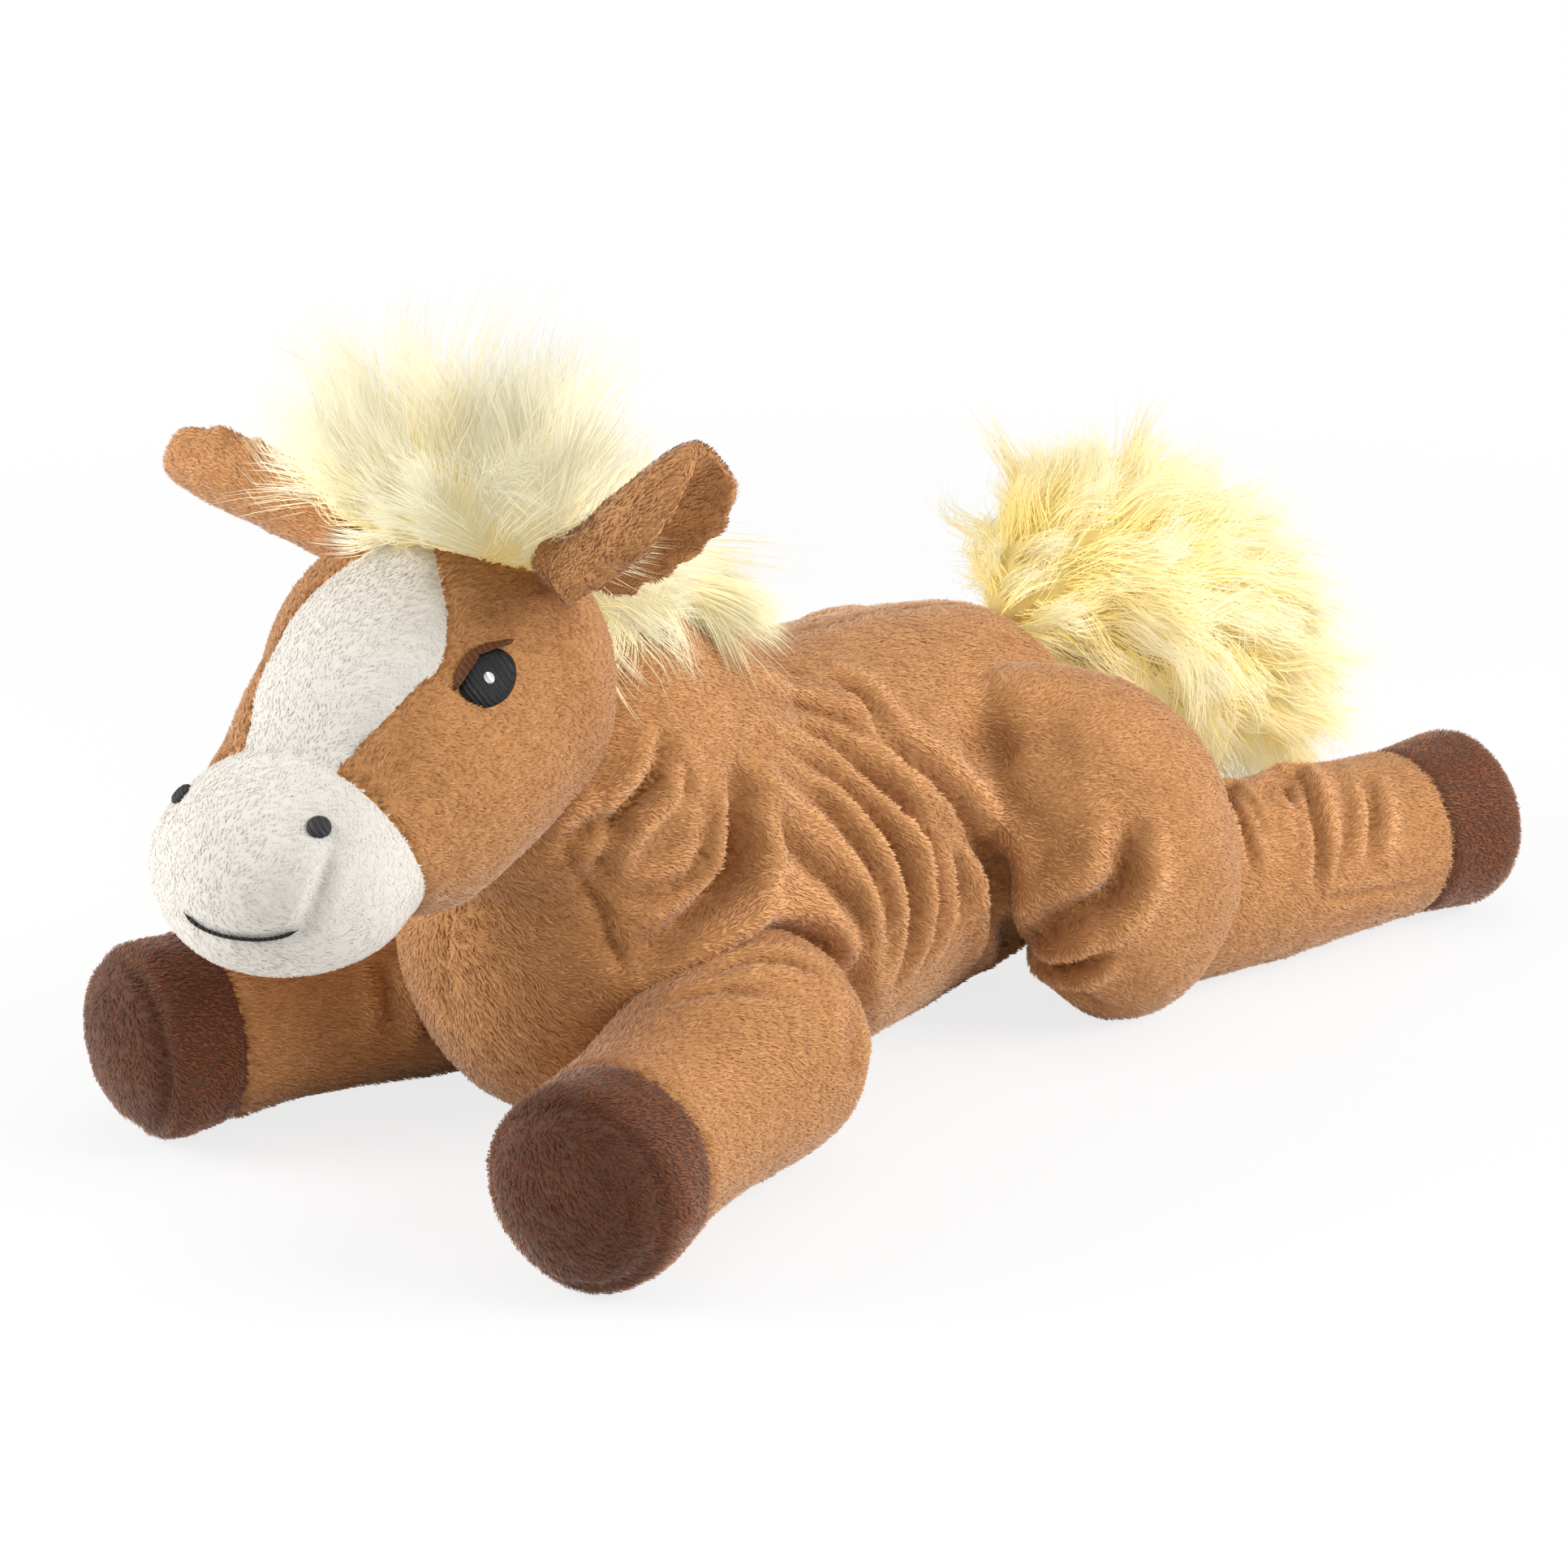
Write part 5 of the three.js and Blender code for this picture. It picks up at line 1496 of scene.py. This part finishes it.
def set_stage():
    scene = bpy.context.scene
    scene.view_settings.view_transform = "Standard"
    camera = bpy.data.objects.new("camera", bpy.data.cameras.new("camera"))
    bpy.context.collection.objects.link(camera)
    camera.data.sensor_width = SENSOR_WIDTH
    camera.data.lens = PHOTO_FOCAL * SENSOR_WIDTH / PHOTO_SIDE
    camera.data.shift_x = -(TARGET_PIXEL[0] - PHOTO_SIDE / 2) / PHOTO_SIDE
    camera.data.shift_y = (TARGET_PIXEL[1] - PHOTO_SIDE / 2) / PHOTO_SIDE
    camera.location = EYE
    camera.rotation_euler = Vector(VIEW_BACK).to_track_quat("Z", "Y").to_euler()
    scene.camera = camera

    finish = material_finish("pale floor")
    shader = finish.node("ShaderNodeBsdfPrincipled", {}, {
        "Base Color": (0.9, 0.9, 0.9, 1), "Roughness": 0.9})
    glow = finish.node("ShaderNodeEmission", {}, {"Color": WHITE, "Strength": 1.0})
    camera_ray = finish.node("ShaderNodeLightPath", output="Is Camera Ray")
    away = finish.node("ShaderNodeVectorMath", {"operation": "LENGTH"}, {0: finish.place()})
    distance = Value(finish, away.socket.node.outputs["Value"])
    far = finish.node("ShaderNodeMapRange", {"interpolation_type": "SMOOTHSTEP"}, {
        "Value": distance, "From Min": 0.25, "From Max": 0.65})
    mixed = finish.node("ShaderNodeMixShader", {}, {0: camera_ray * (far * 0.2 + 0.8), 1: shader, 2: glow})
    finish.node("ShaderNodeOutputMaterial", {}, {"Surface": mixed})
    corners = [(x * FLOOR_HALF, y * FLOOR_HALF, 0) for x, y in ((-1, -1), (1, -1), (1, 1), (-1, 1))]
    floor = bpy.data.objects.new("floor", plain_mesh("floor", corners, [(0, 1, 2, 3)]))
    bpy.context.collection.objects.link(floor)
    floor.location.z = -FLOOR_DROP
    floor.data.materials.append(finish.owner)

    studio = Finish(bpy.data.worlds.new("studio"))
    camera_ray = studio.node("ShaderNodeLightPath", output="Is Camera Ray")
    strength = studio.node("ShaderNodeMapRange", {}, {
        "Value": camera_ray, "To Min": WORLD_LEVEL, "To Max": 1.0})
    background = studio.node("ShaderNodeBackground", {}, {"Color": WHITE, "Strength": strength})
    studio.node("ShaderNodeOutputWorld", {}, {"Surface": background})
    scene.world = studio.owner

    for name, spot, size, power in LAMPS:
        light = bpy.data.lights.new(name, "AREA")
        light.size = size
        light.energy = power
        lamp = bpy.data.objects.new(name, light)
        lamp.location = spot
        lamp.rotation_euler = (Vector(spot) - LAMP_AIM).to_track_quat("Z", "Y").to_euler()
        bpy.context.collection.objects.link(lamp)


# Operators

class PlushHorseStage(bpy.types.Operator):
    """Lay the floor, hang the lamps and set up the camera"""
    bl_idname = "plush_horse.stage"
    bl_label = "Set the stage"

    def execute(self, context):
        set_stage()
        return {"FINISHED"}


class PlushHorseBody(bpy.types.Operator):
    """Sew the body with its neck, belly and folded thighs"""
    bl_idname = "plush_horse.body"
    bl_label = "Sew the body"

    def execute(self, context):
        sew_body()
        return {"FINISHED"}


class PlushHorseLegs(bpy.types.Operator):
    """Sew the four legs with their hooves"""
    bl_idname = "plush_horse.legs"
    bl_label = "Sew the legs"

    def execute(self, context):
        for seed, name in enumerate(LEGS):
            sew_leg(name, 500 + 10 * seed)
        return {"FINISHED"}


class PlushHorseHead(bpy.types.Operator):
    """Sew the head with its blaze and muzzle"""
    bl_idname = "plush_horse.head"
    bl_label = "Sew the head"

    def execute(self, context):
        sew_head()
        return {"FINISHED"}


class PlushHorseFace(bpy.types.Operator):
    """Embroider the eyes, brows, nostrils and smile"""
    bl_idname = "plush_horse.face"
    bl_label = "Embroider the face"

    def execute(self, context):
        embroider()
        return {"FINISHED"}


class PlushHorseEars(bpy.types.Operator):
    """Sew the two ears"""
    bl_idname = "plush_horse.ears"
    bl_label = "Sew the ears"

    def execute(self, context):
        sew_ear("left", 600)
        sew_ear("right", 610)
        return {"FINISHED"}


class PlushHorseFur(bpy.types.Operator):
    """Comb the shaggy forelock, mane and tail"""
    bl_idname = "plush_horse.fur"
    bl_label = "Comb the long fur"

    def execute(self, context):
        comb_forelock()
        comb_mane()
        comb_tail()
        return {"FINISHED"}


OPERATORS = (PlushHorseStage, PlushHorseBody, PlushHorseLegs, PlushHorseHead, PlushHorseFace, PlushHorseEars,
             PlushHorseFur)


class PlushHorsePanel(bpy.types.Panel):
    """The steps of the plush horse, in order"""
    bl_idname = "VIEW3D_PT_plush_horse"
    bl_label = "Plush horse"
    bl_space_type = "VIEW_3D"
    bl_region_type = "UI"
    bl_category = "Plush horse"

    def draw(self, context):
        for name in PlushHorseSettings.__annotations__:
            self.layout.prop(context.scene.plush_horse, name)
        for operator in OPERATORS:
            self.layout.operator(operator.bl_idname)


CLASSES = (PlushHorseSettings, *OPERATORS, PlushHorsePanel)


def register():
    for cls in CLASSES:
        bpy.utils.register_class(cls)
    bpy.types.Scene.plush_horse = PointerProperty(type=PlushHorseSettings)


def unregister():
    del bpy.types.Scene.plush_horse
    for cls in reversed(CLASSES):
        bpy.utils.unregister_class(cls)


def main():
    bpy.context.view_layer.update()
    register()
    for step in ("stage", "body", "legs", "head", "face", "ears", "fur"):
        getattr(bpy.ops.plush_horse, step)()


if __name__ == "__main__":
    main()
